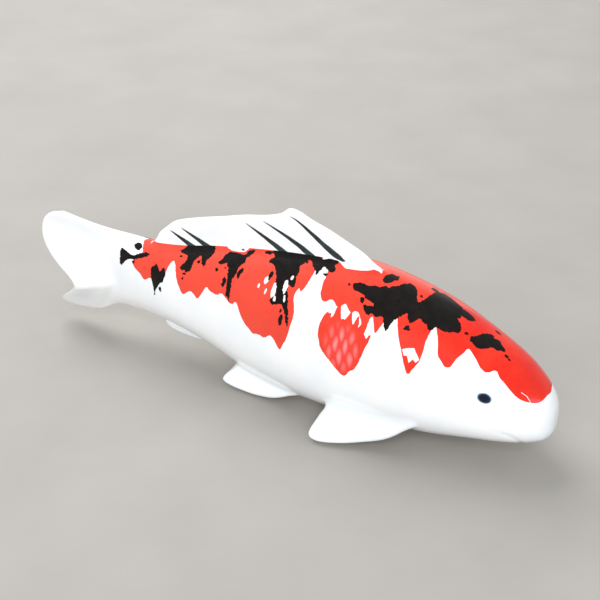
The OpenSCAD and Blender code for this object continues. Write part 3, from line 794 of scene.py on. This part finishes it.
for name, (fin, points, faces) in finBlanks.items():
    faces = facesOut(points, faces)
    finTrees[name] = treeOf(points, faces)
    reach = fin["fillet"] + 1
    near = np.flatnonzero(np.all((bodyPoints > points.min(0) - reach)
                                 & (bodyPoints < points.max(0) + reach), axis=1))
    moved, _, shift = blendOnto(bodyRaw[near], bodyTree, finTrees[name], fin["fillet"])
    bodyPoints[near] = np.where(shift[:, None] > 0, moved, bodyPoints[near])
    pool[near] = np.maximum(pool[near], pooled(shift, fin["fillet"]))
    luted, _, finShift = blendOnto(points, finTrees[name], bodyTree, fin["fillet"])
    makePiece("luted_" + name, luted, faces, porcelain, [name],
              marks={"glazePool": pooled(finShift, fin["fillet"])})
print("koi: fins luted on")

lipDepth = np.zeros(len(bodyPoints))
headPart = np.flatnonzero(bodyPoints[:, 0] > station(lip["headEnds"]))
lipDepth[headPart] = lipCut(bodyPoints[headPart])
bodyNormals = np.vstack([bodyNormal(gridS, gridA).reshape(-1, 3), [1, 0, 0]])
bodyPoints -= bodyNormals * lipDepth[:, None]


def hollowSkin(steps=60, across=72):
    # the mould's slip drains away and leaves one wall, so the inside follows the outside
    s, a = np.meshgrid(np.linspace(bodyShape["hollowFrom"], bodyShape["hollowTo"], steps),
                       np.arange(across) * 360 / across, indexing="ij")
    points = bodyPoint(s, a, bodyShape["wall"]).reshape(-1, 3)
    points[:, 2] = np.maximum(points[:, 2], foot["height"] + bodyShape["wall"])
    faces = gridFaces(steps, across, closed=True)
    faces += [list(range(across))[::-1], [(steps - 1) * across + j for j in range(across)]]
    return points, flipped(facesOut(points, faces))


def drillVent(piece):
    # the kiln vent, which lets the air out of the hollow as it is fired
    mesh = bpy.data.meshes.new("ventDrill")
    work = bmesh.new()
    bmesh.ops.create_cone(work, cap_ends=True, segments=48, radius1=bodyShape["vent"] / 2 * mm,
                          radius2=bodyShape["vent"] / 2 * mm, depth=40 * mm)
    work.to_mesh(mesh)
    work.free()
    drill = newObject("ventDrill", mesh)
    drill.location.x = station(bodyShape["ventStation"]) * mm
    cut = piece.modifiers.new("vent", "BOOLEAN")
    cut.object, cut.operation, cut.solver = drill, "DIFFERENCE", "EXACT"
    bpy.context.view_layer.update()
    drilled = bpy.data.meshes.new_from_object(piece.evaluated_get(
        bpy.context.evaluated_depsgraph_get()))
    piece.modifiers.remove(cut)
    piece.data = drilled
    bpy.data.objects.remove(drill)


hollowPoints, hollowFaces = hollowSkin()
bodyFaces += [[len(bodyPoints) + k for k in f] for f in hollowFaces]
pool = np.maximum(pool, np.clip(lipDepth * lip["pool"], 0, 1))
pool = np.concatenate([pool, np.zeros(len(hollowPoints))])
drillVent(makePiece("glazed_body", np.vstack([bodyPoints, hollowPoints]), bodyFaces, porcelain,
                    ["body_shell"], marks={"glazePool": pool}))

tailPoints, tailFaces = bladeMesh(tailSide(-1), tailSide(1))
makePiece("luted_tail_fin", tailPoints, facesOut(tailPoints, tailFaces), porcelain,
          ["tail_fin"], marks={"glazePool": np.zeros(len(tailPoints))})
print("koi: body and tail made")


def makeFoot():
    radius, straight = foot["width"] / 2, foot["length"] - foot["width"]
    t = np.linspace(0, 1, foot["steps"], endpoint=False) * (2 * straight + 2 * np.pi * radius)
    centres, outs = [], []
    for d in t:
        if d < straight:
            centres.append((d - straight / 2, 0))
            outs.append((0, 1))
        elif d < straight + np.pi * radius:
            turn = (d - straight) / radius
            centres.append((straight / 2, 0))
            outs.append((math.sin(turn), math.cos(turn)))
        elif d < 2 * straight + np.pi * radius:
            centres.append((straight / 2 - (d - straight - np.pi * radius), 0))
            outs.append((0, -1))
        else:
            turn = (d - 2 * straight - np.pi * radius) / radius
            centres.append((-straight / 2, 0))
            outs.append((-math.sin(turn), -math.cos(turn)))
    r, inner = foot["round"], radius - foot["wall"]
    corners = [(radius - r, r, -90), (radius - r, foot["height"] - r, 0),
               (inner + r, foot["height"] - r, 90), (inner + r, r, 180)]
    profile = [(x + r * math.cos(math.radians(a + b)), z + r * math.sin(math.radians(a + b)))
               for x, z, a in corners for b in (0, 22.5, 45, 67.5, 90)]
    middle = station(bodyShape["ventStation"])
    points = [(middle + c[0] + o[0] * x, c[1] + o[1] * x, z)
              for c, o in zip(centres, outs) for x, z in profile]
    size, count = len(profile), len(centres)
    faces = [[i * size + j, i * size + (j + 1) % size, ((i + 1) % count) * size + (j + 1) % size,
              ((i + 1) % count) * size + j] for i in range(count) for j in range(size)]
    makePiece("ground_foot_ring", np.array(points), facesOut(np.array(points), faces), bare,
              ["foot_ring"], creaseAngle=60)


makeFoot()

# Each is a thin sheet on the glaze. spacing is its mesh's, ragged is how far its edge strays and
# tear is the size of the strays, all in millimetres
sheetStyle = {
    "red": {"lift": 0.07, "spacing": 1.7, "ragged": 0.3, "tear": 3.2, "fine": 0.16, "step": 0.45},
    "black": {"lift": 0.14, "spacing": 1.6, "ragged": 0.55, "tear": 2, "fine": 0.56, "step": 0.35},
}
# Edges are cut cleaner on the head: their share of the stray, and where that ends
headEdge = {"share": 0.3, "from": 5, "over": 12}
blobShape = {"corners": 28, "stray": 0.28, "waves": 1.3}
sunk = 0.05  # how far a sheet's underside is in the glaze
fineTear = 0.36  # size of the fine strays as a share of the tear's
degree = 0.6  # millimetres of skin in one degree, near enough for the sheets' meshes
stationLength = bodyShape["length"] / 100
# Where the sheets stop beside the dorsal fin: station, and millimetres from the middle. They
# leave the fin's thick front bare, and climb its fillet further back
slotRows = [
    [32.2, 0.4], [32.4, 1.8], [32.8, 2.9], [33.4, 3.8], [34.2, 4.7], [35.5, 5.5], [36.5, 5.8],
    [37.4, 4], [38.2, 2.2], [39.5, 1.3], [42, 1], [55, 0.9], [70, 0.9], [72.6, 0.8], [73.8, 0.7],
    [74.3, 0.3],
]


def besideFin(s):
    halfWidth = along(bodyLines, 1, s) * bodyShape["width"] / 200
    share = along(slotRows, 1, s) / halfWidth
    return np.degrees(np.arcsin(share ** (bodyShape["squareness"] / 2)))


def rounded(polygon, times=1):
    for _ in range(times):
        after = np.roll(polygon, -1, axis=0)
        polygon = np.stack([mix(polygon, after, 0.25), mix(polygon, after, 0.75)], 1).reshape(-1, 2)
    return polygon


def blob(s, a, ds, da, seed=0.0):
    t = np.linspace(0, 2 * np.pi, blobShape["corners"], endpoint=False)
    waves = blobShape["waves"]
    r = np.array([1 + blobShape["stray"] * noise.noise(Vector((
        math.cos(x) * waves + s, math.sin(x) * waves + a, seed))) for x in t])
    return np.column_stack([s + ds * r * np.cos(t), a + da * r * np.sin(t)])


def tornEdge(polygon, style, seed):
    # walks the outline in small steps and strays from it
    scale = np.array([stationLength, degree])
    ring = polygon * scale
    walked = []
    for start, end in zip(ring, np.roll(ring, -1, axis=0)):
        steps = max(int(np.linalg.norm(end - start) / style["step"]), 1)
        walked += [mix(start, end, k / steps) for k in range(steps)]
    walked = np.array(walked)
    behind = (walked[:, 0] / stationLength - headEdge["from"]) / headEdge["over"]
    calm = mix(headEdge["share"], 1, ease(behind))
    tear, fine = style["tear"], fineTear * style["tear"]
    stray = calm[:, None] * np.array([
        [style["ragged"] * noise.noise(Vector((p[0], p[1], seed + shift)) / tear)
         + style["fine"] * noise.noise(Vector((p[0], p[1], seed + shift + 9)) / fine)
         for shift in (0, 40)] for p in walked])
    return (walked + stray) / scale


def insideOf(points, polygon):
    x, y = points[:, 0:1], points[:, 1:2]
    ax, ay = polygon[:, 0], polygon[:, 1]
    bx, by = np.roll(ax, -1), np.roll(ay, -1)
    crosses = (ay > y) != (by > y)
    where = ax + (y - ay) / np.where(by == ay, 1e-9, by - ay) * (bx - ax)
    return (crosses & (x < where)).sum(1) % 2 == 1


# The stretch of the back that the dorsal fin's fillet reaches, and how deep in the fin the
# sheets still follow it
finStretch = {"from": 30, "to": 75, "angle": 22, "hidden": 2.4}


def onSkin(s, a, lift):
    # the glaze's surface with its fillet by the dorsal fin, lifted off it
    points, normals = bodyPoint(s, a), bodyNormal(s, a)
    near = np.flatnonzero((s > finStretch["from"]) & (s < finStretch["to"])
                          & (np.abs(a) < finStretch["angle"]))
    if len(near):
        moved, slopes, shift = blendOnto(points[near], bodyTree, finTrees["dorsal_fin"],
                                         dorsal["fillet"], hidden=finStretch["hidden"])
        hit = shift > 0
        points[near[hit]] = moved[hit]
        normals[near[hit]] = unit(slopes[hit])
    return points + normals * lift, normals


def makeSheet(name, solids, holes, style, material, replaced, seed=0.0, side=1, plain=()):
    style = sheetStyle[style]
    solids = [tornEdge(p, style, seed + 3 * n) for n, p in enumerate(solids)]
    holes = ([tornEdge(p, style, seed + 50 + 3 * n) for n, p in enumerate(holes)]
             + [np.asarray(p, float) for p in plain])
    rings = solids + holes
    scale = np.array([stationLength, degree])
    everything = np.vstack(rings)
    low, high = everything.min(0), everything.max(0)
    s = np.arange(low[0], high[0], style["spacing"] / stationLength)
    a = np.arange(low[1], high[1], style["spacing"] / degree)
    inner = np.array(np.meshgrid(s, a, indexing="ij"))
    inner[1, ::2] += style["spacing"] / degree / 2
    inner = inner.reshape(2, -1).T
    clear = np.ones(len(inner), bool)
    for ring in rings:
        gap = np.linalg.norm((inner[:, None] - ring[None]) * scale, axis=2).min(1)
        clear &= gap > style["spacing"] * 0.4
    keep = np.zeros(len(inner), bool)
    for ring in solids:
        keep |= insideOf(inner, ring)
    inner = inner[clear & keep]
    points = [Vector(p) for p in np.vstack(rings + [inner]) * scale]
    edges, first = [], 0
    for ring in rings:
        edges += [(first + k, first + (k + 1) % len(ring)) for k in range(len(ring))]
        first += len(ring)
    found, _, triangles, _, _, _ = geometry.delaunay_2d_cdt(points, edges, [], 0, 1e-4, True)
    flat = np.array([tuple(p) for p in found]) / scale
    triangles = np.array(triangles)
    centres = flat[triangles].mean(1)
    kept = np.zeros(len(triangles), bool)
    for ring in solids:
        kept |= insideOf(centres, ring)
    for ring in holes:
        kept &= ~insideOf(centres, ring)
    triangles = triangles[kept]
    used, order = np.unique(triangles, return_inverse=True)
    triangles, flat = order.reshape(-1, 3), flat[used]
    top, normals = onSkin(flat[:, 0], flat[:, 1], style["lift"])
    if side < 0:
        top, normals = mirrored(top), mirrored(normals)
    p, q, r = (top[triangles[:, k]] for k in range(3))
    facing = (np.cross(q - p, r - p) * normals[triangles[:, 0]]).sum(1)
    triangles[facing < 0] = triangles[facing < 0][:, ::-1]
    bottom = top - normals * (style["lift"] + sunk)
    size = len(top)
    pairs = dict.fromkeys((int(t[k]), int(t[(k + 1) % 3])) for t in triangles for k in range(3))
    faces = (triangles.tolist() + (triangles[:, ::-1] + size).tolist()
             + [[end, start, start + size, end + size] for start, end in pairs
                if (end, start) not in pairs])
    flank = np.column_stack([flat[:, 0] * stationLength, flat[:, 1] * degree, np.zeros(size)])
    return makePiece(name, np.vstack([top, bottom]), faces, material, replaced,
                     normals=np.vstack([normals, normals]),
                     marks={"flankPlace": np.vstack([flank, flank])})


def acrossRidge(right, left):
    # an outline down both sides, from rows of station and lower angle for each
    return np.vstack([right, [(s, -a) for s, a in reversed(left)]])


def finSlot():
    s = np.linspace(slotRows[0][0], slotRows[-1][0], 160)
    edge = besideFin(s)
    return np.vstack([np.column_stack([s, edge]), np.column_stack([s, -edge])[::-1]])


# Outlines as station and angle. The back's right edge, from the nose to the saddle's gap
backRight = [
    (1.5, 4), (1.6, 10), (1.75, 20), (1.9, 30), (2.25, 39), (2.8, 45), (3.3, 47.5), (4.1, 50.5),
    (5.2, 51), (6.4, 47), (7.5, 42), (8.4, 40), (9.1, 33), (10.3, 42), (11.3, 41), (12.2, 36),
    (13.1, 31), (14, 28.5), (14.2, 33), (14.4, 37), (15, 42), (15.4, 51), (16.2, 55), (17, 52),
    (17.9, 48), (18.4, 36), (19.1, 29), (19.4, 26), (19.9, 33), (20.1, 44), (20.1, 57),
    (20.9, 64), (21.7, 72), (22.6, 65), (23.6, 55), (24.3, 48), (25, 40), (25.7, 29),
    (26.2, 31), (26.7, 38), (27.1, 43), (27.5, 47.5), (27.9, 52.5), (28.2, 52), (28.5, 47),
    (28.9, 42.5), (29.2, 42), (29.4, 46), (29.5, 51), (29.7, 56.5), (30.1, 56), (30.4, 51),
    (30.9, 46), (31.5, 43), (32.1, 42.5), (32.5, 45.5), (33.2, 43.5), (33.8, 40), (34.2, 41),
    (34.6, 44), (35.2, 44.5), (35.9, 41), (36.5, 40), (37.3, 44), (38.2, 43), (38.6, 37),
    (38.8, 30), (38.7, 22), (39, 16), (38.7, 9), (38.2, 6), (37.8, 2),
]
backLeft = [
    (1.5, 3), (1.6, 8), (1.8, 20), (2.2, 36), (2.8, 44), (4.1, 47), (5.3, 48), (6.4, 45),
    (7.5, 42), (8.4, 38), (9.1, 30), (10.3, 36), (11.3, 39), (12.2, 40), (13.1, 34), (14, 26),
    (14.6, 30), (15.4, 44), (16.3, 52), (17.9, 56), (18.5, 50), (19.3, 36), (19.8, 30),
    (20.3, 32), (21, 40), (21.7, 48), (22.6, 58), (23.6, 66), (24.4, 58), (25, 42), (25.6, 32),
    (26.2, 28), (26.7, 36), (27.7, 44), (28.4, 40), (30.2, 38), (31.2, 36), (32.1, 39),
    (33.5, 35), (34.7, 40), (35.5, 37), (36.7, 39), (37.9, 38), (38.4, 33), (38.7, 27),
    (38.9, 16), (38.2, 6), (37.8, 2),
]
# Bare spots: the third tongue's notch, the forehead's thin line, and one beside the dorsal fin
tornWhites = [
    [(20.35, 57.5), (21.5, 50.5), (23.35, 55.5), (22.9, 59), (22.3, 58.5), (21.9, 63), (21.3, 59),
     (20.8, 61)],
    [(4.95, 42.2), (4.1, 42.4), (3.25, 48.3), (3.15, 48), (4.0, 41.5), (5.0, 41.2)],
    [(59.3, 0), (58.9, 6), (58, 9.5), (56.5, 10.5), (55.4, 10), (54.8, 5), (54.7, 0)],
]
saddleRight = [
    (40.9, 2), (41, 15), (41.1, 28), (41.5, 36), (42.1, 42), (42.5, 38), (42.9, 41), (43, 48),
    (42.6, 53), (42.4, 58), (42.5, 64), (42.8, 71), (43.2, 78), (43.9, 83), (44.2, 86.5),
    (44.6, 87.5), (45.4, 84), (46, 81.5), (46.6, 80), (47.6, 84), (48.9, 83), (50, 84), (51, 81),
    (52, 78), (53.2, 69), (53.9, 63), (54.8, 68), (56, 64), (57.2, 60), (58, 64), (59.8, 62),
    (60.5, 58), (61.2, 65), (62.2, 75), (63, 71), (63.8, 68), (64.6, 71), (65.6, 76), (66.3, 71),
    (67.3, 60), (67.9, 47), (68.4, 38), (68.8, 35), (69.3, 41), (69.8, 54), (70.2, 62),
    (72.5, 70), (73.6, 71), (74.2, 75), (74.8, 77), (75.7, 71), (76.5, 68), (77.2, 65),
    (77.8, 59), (77.4, 50), (76.4, 42), (75.9, 32), (76.2, 26), (76.5, 18), (76.7, 10), (76.9, 4),
]
flankPatch = [
    (28.5, 55), (28.9, 55), (29.2, 59), (29.5, 58), (29.8, 56), (30.2, 50), (30.45, 48),
    (30.7, 52), (30.9, 54), (31, 49), (31.15, 45), (31.5, 48), (31.8, 53.5), (32.1, 51),
    (32.35, 45), (32.6, 43), (32.9, 47), (33.2, 51.5), (33.6, 51), (33.9, 52.5), (34.3, 47),
    (34.6, 41), (34.8, 40.5), (35.1, 45), (35.4, 52), (35.7, 54), (35.8, 49.5), (36.1, 51),
    (36.5, 50), (37, 54), (37.4, 59), (37.5, 64), (37.4, 69), (37, 74), (36.5, 77), (35.6, 80),
    (34.9, 82), (34.2, 84), (33.4, 86), (32.7, 88), (32, 87.5), (31.4, 83.5), (30.8, 82),
    (30.4, 80.5), (30, 77), (29.7, 72), (29.3, 67), (28.9, 62),
]


def wandered(outline):
    # the left's edges wander away from the right's, as hand-cut transfers do
    return [(s, a * (1 + 0.08 * math.sin(math.radians(40 * s)))) for s, a in outline]


def makeReds():
    makeSheet("red_back_sheet", [rounded(acrossRidge(backRight, backLeft))], tornWhites[:2],
              "red", red,
              ["red_head_transfer", "red_shoulder_transfer_right", "red_shoulder_transfer_left"],
              1.0, plain=[finSlot()])
    outline = acrossRidge(saddleRight, wandered(saddleRight))
    spots = [(48.9, 38.5, 0.42, 4), (47, 46, 0.45, 7.5), (45.1, 40.5, 0.5, 7),
             (44.4, 31, 0.28, 2.6), (50, 45, 0.22, 2.2), (48.5, 48, 0.2, 2.6),
             (44.6, 50, 0.3, 3.5), (46.5, 52, 0.35, 3)]
    whites = [blob(s, a * side, ds, da, 2) for side in (1, -1) for s, a, ds, da in spots]
    whites.append(np.array(tornWhites[2], float))
    makeSheet("red_saddle_sheet", [rounded(outline)], whites, "red", red,
              ["red_saddle_transfer_right", "red_saddle_transfer_left"], 5.0, plain=[finSlot()])
    for side, word in ((1, "right"), (-1, "left")):
        patch = np.array(flankPatch if side > 0 else wandered(flankPatch), float)
        makeSheet("red_flank_sheet_" + word, [rounded(patch)], [], "red", scaledRed,
                  ["red_flank_transfer_" + word], 9.0 + side, side)


blackMarks = {
    "black_shoulder_transfer": {
        "ridge": True,
        "outline": [
            (34, 23.5), (33.7, 26), (32.5, 28), (31.6, 27), (30.9, 31), (29.9, 32), (29.3, 34),
            (30.2, 35), (31, 36), (30.9, 39), (30.4, 41), (29.8, 42.5), (29.3, 40), (28.6, 41.5),
            (27.6, 38.5), (27.1, 42), (26.8, 47), (26.5, 49), (26.1, 44), (25.7, 38), (25, 33),
            (24.6, 30), (24.2, 27), (23.7, 31), (23.2, 34.5), (22.8, 32), (22.4, 28), (22, 27),
            (21.4, 28.5), (20.8, 28), (20.4, 33), (20, 33), (19.7, 28), (19.2, 26), (18.4, 27),
            (17.4, 26), (16.6, 22), (15.9, 21), (15.9, 14), (16.8, 9), (17.6, 4), (16.9, 1),
            (15.9, 1.5), (15.2, -0.5), (14.8, -4), (15.6, -6.5), (16.6, -8), (17.6, -8.5),
            (18.4, -10), (19.3, -12), (20, -14), (21, -15), (21.7, -13), (22.2, -8), (22.5, 2),
            (22.9, 8), (23.3, 13), (23.7, 12), (24.1, 6), (24.6, 2), (25.2, 0), (26, -3), (26.5, 0),
            (27, 4), (27.8, 10), (28.4, 13), (29.2, 13), (29.8, 17), (30.5, 15.5), (31.4, 19.5),
            (32.2, 18.5), (33.2, 19), (33.8, 21),
        ],
        "blobs": [(34.5, 24, 0.25, 1.3), (31.5, 33, 0.35, 2.2), (29.3, 3, 0.95, 6),
                  (28.4, 0, 0.5, 3), (23.4, 39, 0.45, 2.6), (23.5, 6, 0.25, 1.6),
                  (22.6, -11, 0.6, 3), (18.2, -6, 1.1, 2.6), (16.8, -1.5, 0.9, 3),
                  (17.5, 4, 0.7, 2.5)],
    },
    "black_nape_transfer": {
        "ridge": True,
        "outline": [
            (9.2, 4), (9.1, 8), (9.8, 10), (10.2, 13), (10.7, 12), (11.2, 15), (11.7, 20),
            (12.3, 22), (12.9, 24), (13.5, 22), (14.2, 21.5), (14.4, 16), (13.7, 13),
            (13.3, 8), (12.8, 3), (12.3, 0), (11.8, -2), (11.3, 1), (10.9, -1), (10.4, -1),
            (9.9, 2),
        ],
        "blobs": [(14.9, 16, 0.3, 1.8), (8.6, 11, 0.35, 2.2), (8.1, 13, 0.2, 1.6),
                  (11.5, -12, 0.5, 2)],
    },
    "black_saddle_transfer": {
        "outline": [
            (50.4, 0), (50, 5), (49.6, 9), (49.4, 12), (50, 16), (49.8, 19), (48.9, 21),
            (48.2, 24), (47.9, 27), (47.5, 31), (47.2, 36), (46.8, 41), (46.4, 45), (46.5, 49),
            (47, 51.5), (47.4, 54), (46.9, 57.5), (46.2, 56.5), (45.4, 54.5), (44.7, 56),
            (44.1, 61), (43.8, 66), (43.4, 70), (43.15, 68), (43.4, 61), (43.8, 54), (44.1, 47),
            (44.6, 42), (44.9, 38.5), (44.4, 37.5), (43.7, 40), (43.4, 37.5), (43.6, 30),
            (43.7, 23), (44.1, 18.5), (43.5, 13), (43, 8), (42.5, 10), (42.1, 14), (41.5, 18),
            (40.8, 20), (40.4, 25), (40.2, 17), (39.9, 12), (39.1, 16), (38.1, 18), (37.6, 14),
            (38.5, 9), (37.8, 4), (38.6, 2.5), (39.5, 2), (40.3, 4.5), (41, 5), (41.3, 0),
        ],
        "blobs": [(50.8, 7, 0.8, 2.4), (48.4, 33, 0.4, 4.2), (44.65, 67, 0.42, 3.8),
                  (44.9, 60, 0.18, 1.2), (43.2, 11.5, 0.25, 1.6), (39, 21, 0.4, 1.4)],
        "whites": [(45.1, 40.5, 0.42, 6.2), (44.4, 31, 0.26, 2.4), (44.7, 50, 0.24, 2.8),
                   (46.5, 52, 0.28, 2.4)],
    },
    "black_waist_transfer": {
        "outline": [
            (58.2, 11), (57.4, 12), (56.5, 11.5), (55.7, 14), (54.9, 13), (54.7, 8), (53.9, 4),
            (53.3, 7), (53.8, 12), (54, 16), (54.5, 19), (54.2, 24), (54.7, 28), (55, 34),
            (55.1, 39), (55.5, 44), (55.4, 53), (55.4, 60), (55.2, 68), (55.6, 62), (56.2, 62),
            (56.2, 57), (56.3, 52), (56.5, 46), (56.7, 40), (57, 33), (57.7, 27.5), (58.2, 30),
            (59.1, 31.5), (59.6, 29), (58.7, 25), (58.9, 19),
        ],
        "blobs": [(59.2, 38, 0.3, 2), (57.1, 49, 0.32, 5), (54.4, 38, 0.36, 5.2),
                  (57.5, 35, 0.16, 1.4), (55.8, 6.5, 0.35, 1.3), (54.2, 34, 0.3, 2.6)],
    },
    "black_loin_transfer": {
        "outline": [
            (67.1, 0), (67.3, 6), (67.7, 11), (68.1, 17), (67.8, 20.5), (66.9, 22), (66.1, 24),
            (66, 30), (66.2, 36), (66.9, 41), (67, 45), (66.5, 48), (65.9, 46), (65.6, 50),
            (65.2, 47.5), (64.6, 46), (64.5, 40), (64.5, 33), (64.1, 27), (63.5, 21.5),
            (63, 28), (62.6, 33), (62.1, 38.5), (61.7, 34), (62, 28), (61.4, 24), (61.1, 17),
            (61.3, 9), (61.6, 0),
        ],
        "blobs": [(63.4, 32, 0.26, 2.6), (66, 57, 0.18, 1.8), (67.5, 26.5, 0.22, 1.6),
                  (65.8, 51, 0.3, 1.6), (67.7, 15.5, 0.5, 2)],
    },
    "black_peduncle_transfer": {
        "outline": [
            (69.9, 58), (70.1, 52), (70.5, 49.5), (70.9, 53), (71.2, 57.5), (71.5, 55),
            (71.8, 50), (72.3, 46), (72.6, 50), (73.1, 53), (73.3, 58), (73.1, 67), (72.8, 76),
            (72.5, 83), (72.3, 92), (72.05, 85), (71.6, 79), (71.2, 74), (70.6, 71),
            (70.1, 66),
        ],
        "blobs": [(70.9, 80, 0.28, 3)],
    },
    "black_tail_root_transfer": {
        "outline": [
            (75.1, 31), (75.6, 34), (76.2, 37), (77, 42), (77.8, 46), (78.5, 47), (79.3, 44),
            (80, 42), (80.7, 41), (80.8, 50), (80.7, 60), (80.8, 72), (80, 68), (79.3, 60),
            (78.5, 54), (77.7, 53), (76.9, 50), (76.1, 46), (75.4, 43), (74.9, 38), (74.7, 34),
        ],
        "blobs": [(77.3, 24, 0.8, 9), (75, 36, 0.6, 4.5), (77.5, 57, 0.3, 2.6)],
    },
}


def makeBlacks():
    for n, (name, mark) in enumerate(blackMarks.items()):
        ridge = mark.get("ridge", False)
        for side, word in ((1, ""),) if ridge else ((1, "_right"), (-1, "_left")):
            outline = np.array(mark["outline"] if side > 0 else wandered(mark["outline"]), float)
            solids = [rounded(outline)]
            solids += [blob(s, a, ds, da, 4 + side) for s, a, ds, da in mark["blobs"]]
            whites = [blob(s, a, ds, da, 2) for s, a, ds, da in mark.get("whites", [])]
            plain = [] if ridge else [finSlot()]
            makeSheet(name.replace("transfer", "sheet") + word, solids, whites, "black", black,
                      [name + word], 20 + 2.5 * n + side, side, plain)


makeReds()
makeBlacks()
print("koi: transfers laid")


# Ray at the foot and at the tip, and the share of the ray's length at each
strokes = {
    "width": 3.8, "lift": 0.12, "steps": 60, "across": 6, "swell": 0.16, "taper": 0.8,
    "tipHalf": 0.05, "stray": 0.22, "strayAlong": 9, "strayAcross": 2, "hidden": 6,
    "rays": [(12, 12.8, 0.14, 0.87), (11.4, 12, 0.14, 0.82), (8.5, 9.2, 0.12, 0.85),
             (6.8, 8.3, 0.12, 0.9), (3.3, 6.3, 0.3, 0.9)],
}


def makeStrokes(side, word):
    points, normals, faces = [], [], []
    t, w = np.meshgrid(np.linspace(0, 1, strokes["steps"] + 1),
                       np.linspace(-1, 1, strokes["across"] + 1), indexing="ij")
    for n, (footRay, tipRay, footShare, tipShare) in enumerate(strokes["rays"]):
        k, u = mix(footRay, tipRay, t), mix(footShare, tipShare, t)
        half = bladeThickness(u, k / (len(dorsal["plan"]) - 1), dorsal) / 2
        swell = 0.5 + 0.5 * ease(t / strokes["swell"])
        taper = strokes["width"] / 2 * swell * (1 - t) ** strokes["taper"] + strokes["tipHalf"]
        stray = np.array([[strokes["stray"] * (1 - x) * noise.noise(Vector((
            x * strokes["strayAlong"], y * strokes["strayAcross"], n + side)))
            for x, y in zip(p, q)] for p, q in zip(t, w)])
        middle = rayPoint(dorsal, k, u)
        run = unit(rayPoint(dorsal, k, np.ones_like(u)) - rayPoint(dorsal, k, np.zeros_like(u)))
        middle[..., 0] += (w * taper + stray) * run[..., 2]
        middle[..., 2] -= (w * taper + stray) * run[..., 0]
        middle[..., 1] = -half
        flat = middle.reshape(-1, 3)
        skin, slopes, _ = blendOnto(flat, finTrees["dorsal_fin"], bodyTree, dorsal["fillet"],
                                    hidden=strokes["hidden"])
        out = np.where(np.isnan(slopes), np.array([0, -1.0, 0]), slopes)
        top = skin + out * strokes["lift"]
        bottom = skin - out * sunk
        if side < 0:
            top, bottom, out = mirrored(top), mirrored(bottom), mirrored(out)
        first, size = len(points), len(top)
        points += list(top) + list(bottom)
        normals += list(out) + list(out)
        rows, columns = t.shape
        up = gridFaces(rows, columns)
        ring = ([i * columns for i in range(rows)]
                + [(rows - 1) * columns + j for j in range(1, columns)]
                + [i * columns + columns - 1 for i in range(rows - 2, -1, -1)]
                + [j for j in range(columns - 2, 0, -1)])
        shell = up + [[k + size for k in reversed(f)] for f in up]
        shell += [[ring[m], ring[m - 1], ring[m - 1] + size, ring[m] + size]
                  for m in range(len(ring))]
        a, b, c = (top[k] for k in up[len(up) // 2][:3])
        if np.dot(np.cross(b - a, c - a), out[up[len(up) // 2][0]]) < 0:
            shell = flipped(shell)
        faces += [[first + k for k in f] for f in shell]
    makePiece("dorsal_ray_strokes_" + word, np.array(points), faces, brushed,
              ["dorsal_ray_transfers_" + word], normals=np.array(normals))


makeStrokes(1, "right")
makeStrokes(-1, "left")

# Oval domes: dome and edge are heights over the skin, and rim is how deep the edge is sunk
eyes = {"station": 9.8, "angle": 66, "length": 7.2, "height": 5.2, "dome": 0.315, "edge": 0.02,
        "rim": 0.15, "rings": 14, "around": 64}


def weldMiddle(points, faces, count):
    # the first ring is one point
    welded = np.vstack([points[:count].mean(0), points[count:]])
    return welded, withoutFlat([[0 if k < count else k - count + 1 for k in f] for f in faces])


def makeEyes():
    s, a = eyes["station"], eyes["angle"]
    centre, out = bodyPoint(s, a), bodyNormal(s, a)
    back = unit(bodyPoint(s + 1, a) - bodyPoint(s - 1, a))
    up = np.cross(out, back)
    turns = np.linspace(0, 2 * np.pi, eyes["around"], endpoint=False)
    for side, word in ((1, "right"), (-1, "left")):
        points, size = [], []
        for k in range(eyes["rings"] + 1):
            r = math.sin(math.pi / 2 * k / eyes["rings"])
            for turn in turns:
                flat = (centre + back * eyes["length"] / 2 * r * math.cos(turn)
                        + up * eyes["height"] / 2 * r * math.sin(turn))
                spot = bodyTree.find_nearest(Vector(flat))[0]
                dome = eyes["dome"] * math.sqrt(max(1 - r * r, 0)) + eyes["edge"]
                lift = dome if k < eyes["rings"] else -eyes["rim"]
                points.append(np.array(spot) + out * lift)
                size.append(r)
        count = eyes["around"]
        faces = gridFaces(eyes["rings"] + 1, count, closed=True)
        faces += [[eyes["rings"] * count + j for j in range(count)]]
        points, faces = weldMiddle(np.array(points), faces, count)
        size = np.concatenate([[0], size[count:]])
        if side < 0:
            points = mirrored(points)
        makePiece(word + "_eye_enamel", points, facesOut(points, faces), navy,
                  [word + "_eye"], marks={"fromMiddle": size}, creaseAngle=80)


makeEyes()
print("koi: strokes and eyes made")


def addFloor():
    mesh = bpy.data.meshes.new("floor")
    work = bmesh.new()
    bmesh.ops.create_grid(work, x_segments=4, y_segments=4, size=floorPaint["halfSize"])
    work.to_mesh(mesh)
    work.free()
    mesh.materials.append(makeFloorPaint())
    newObject("floor", mesh)


addFloor()
addLights()
addCamera()
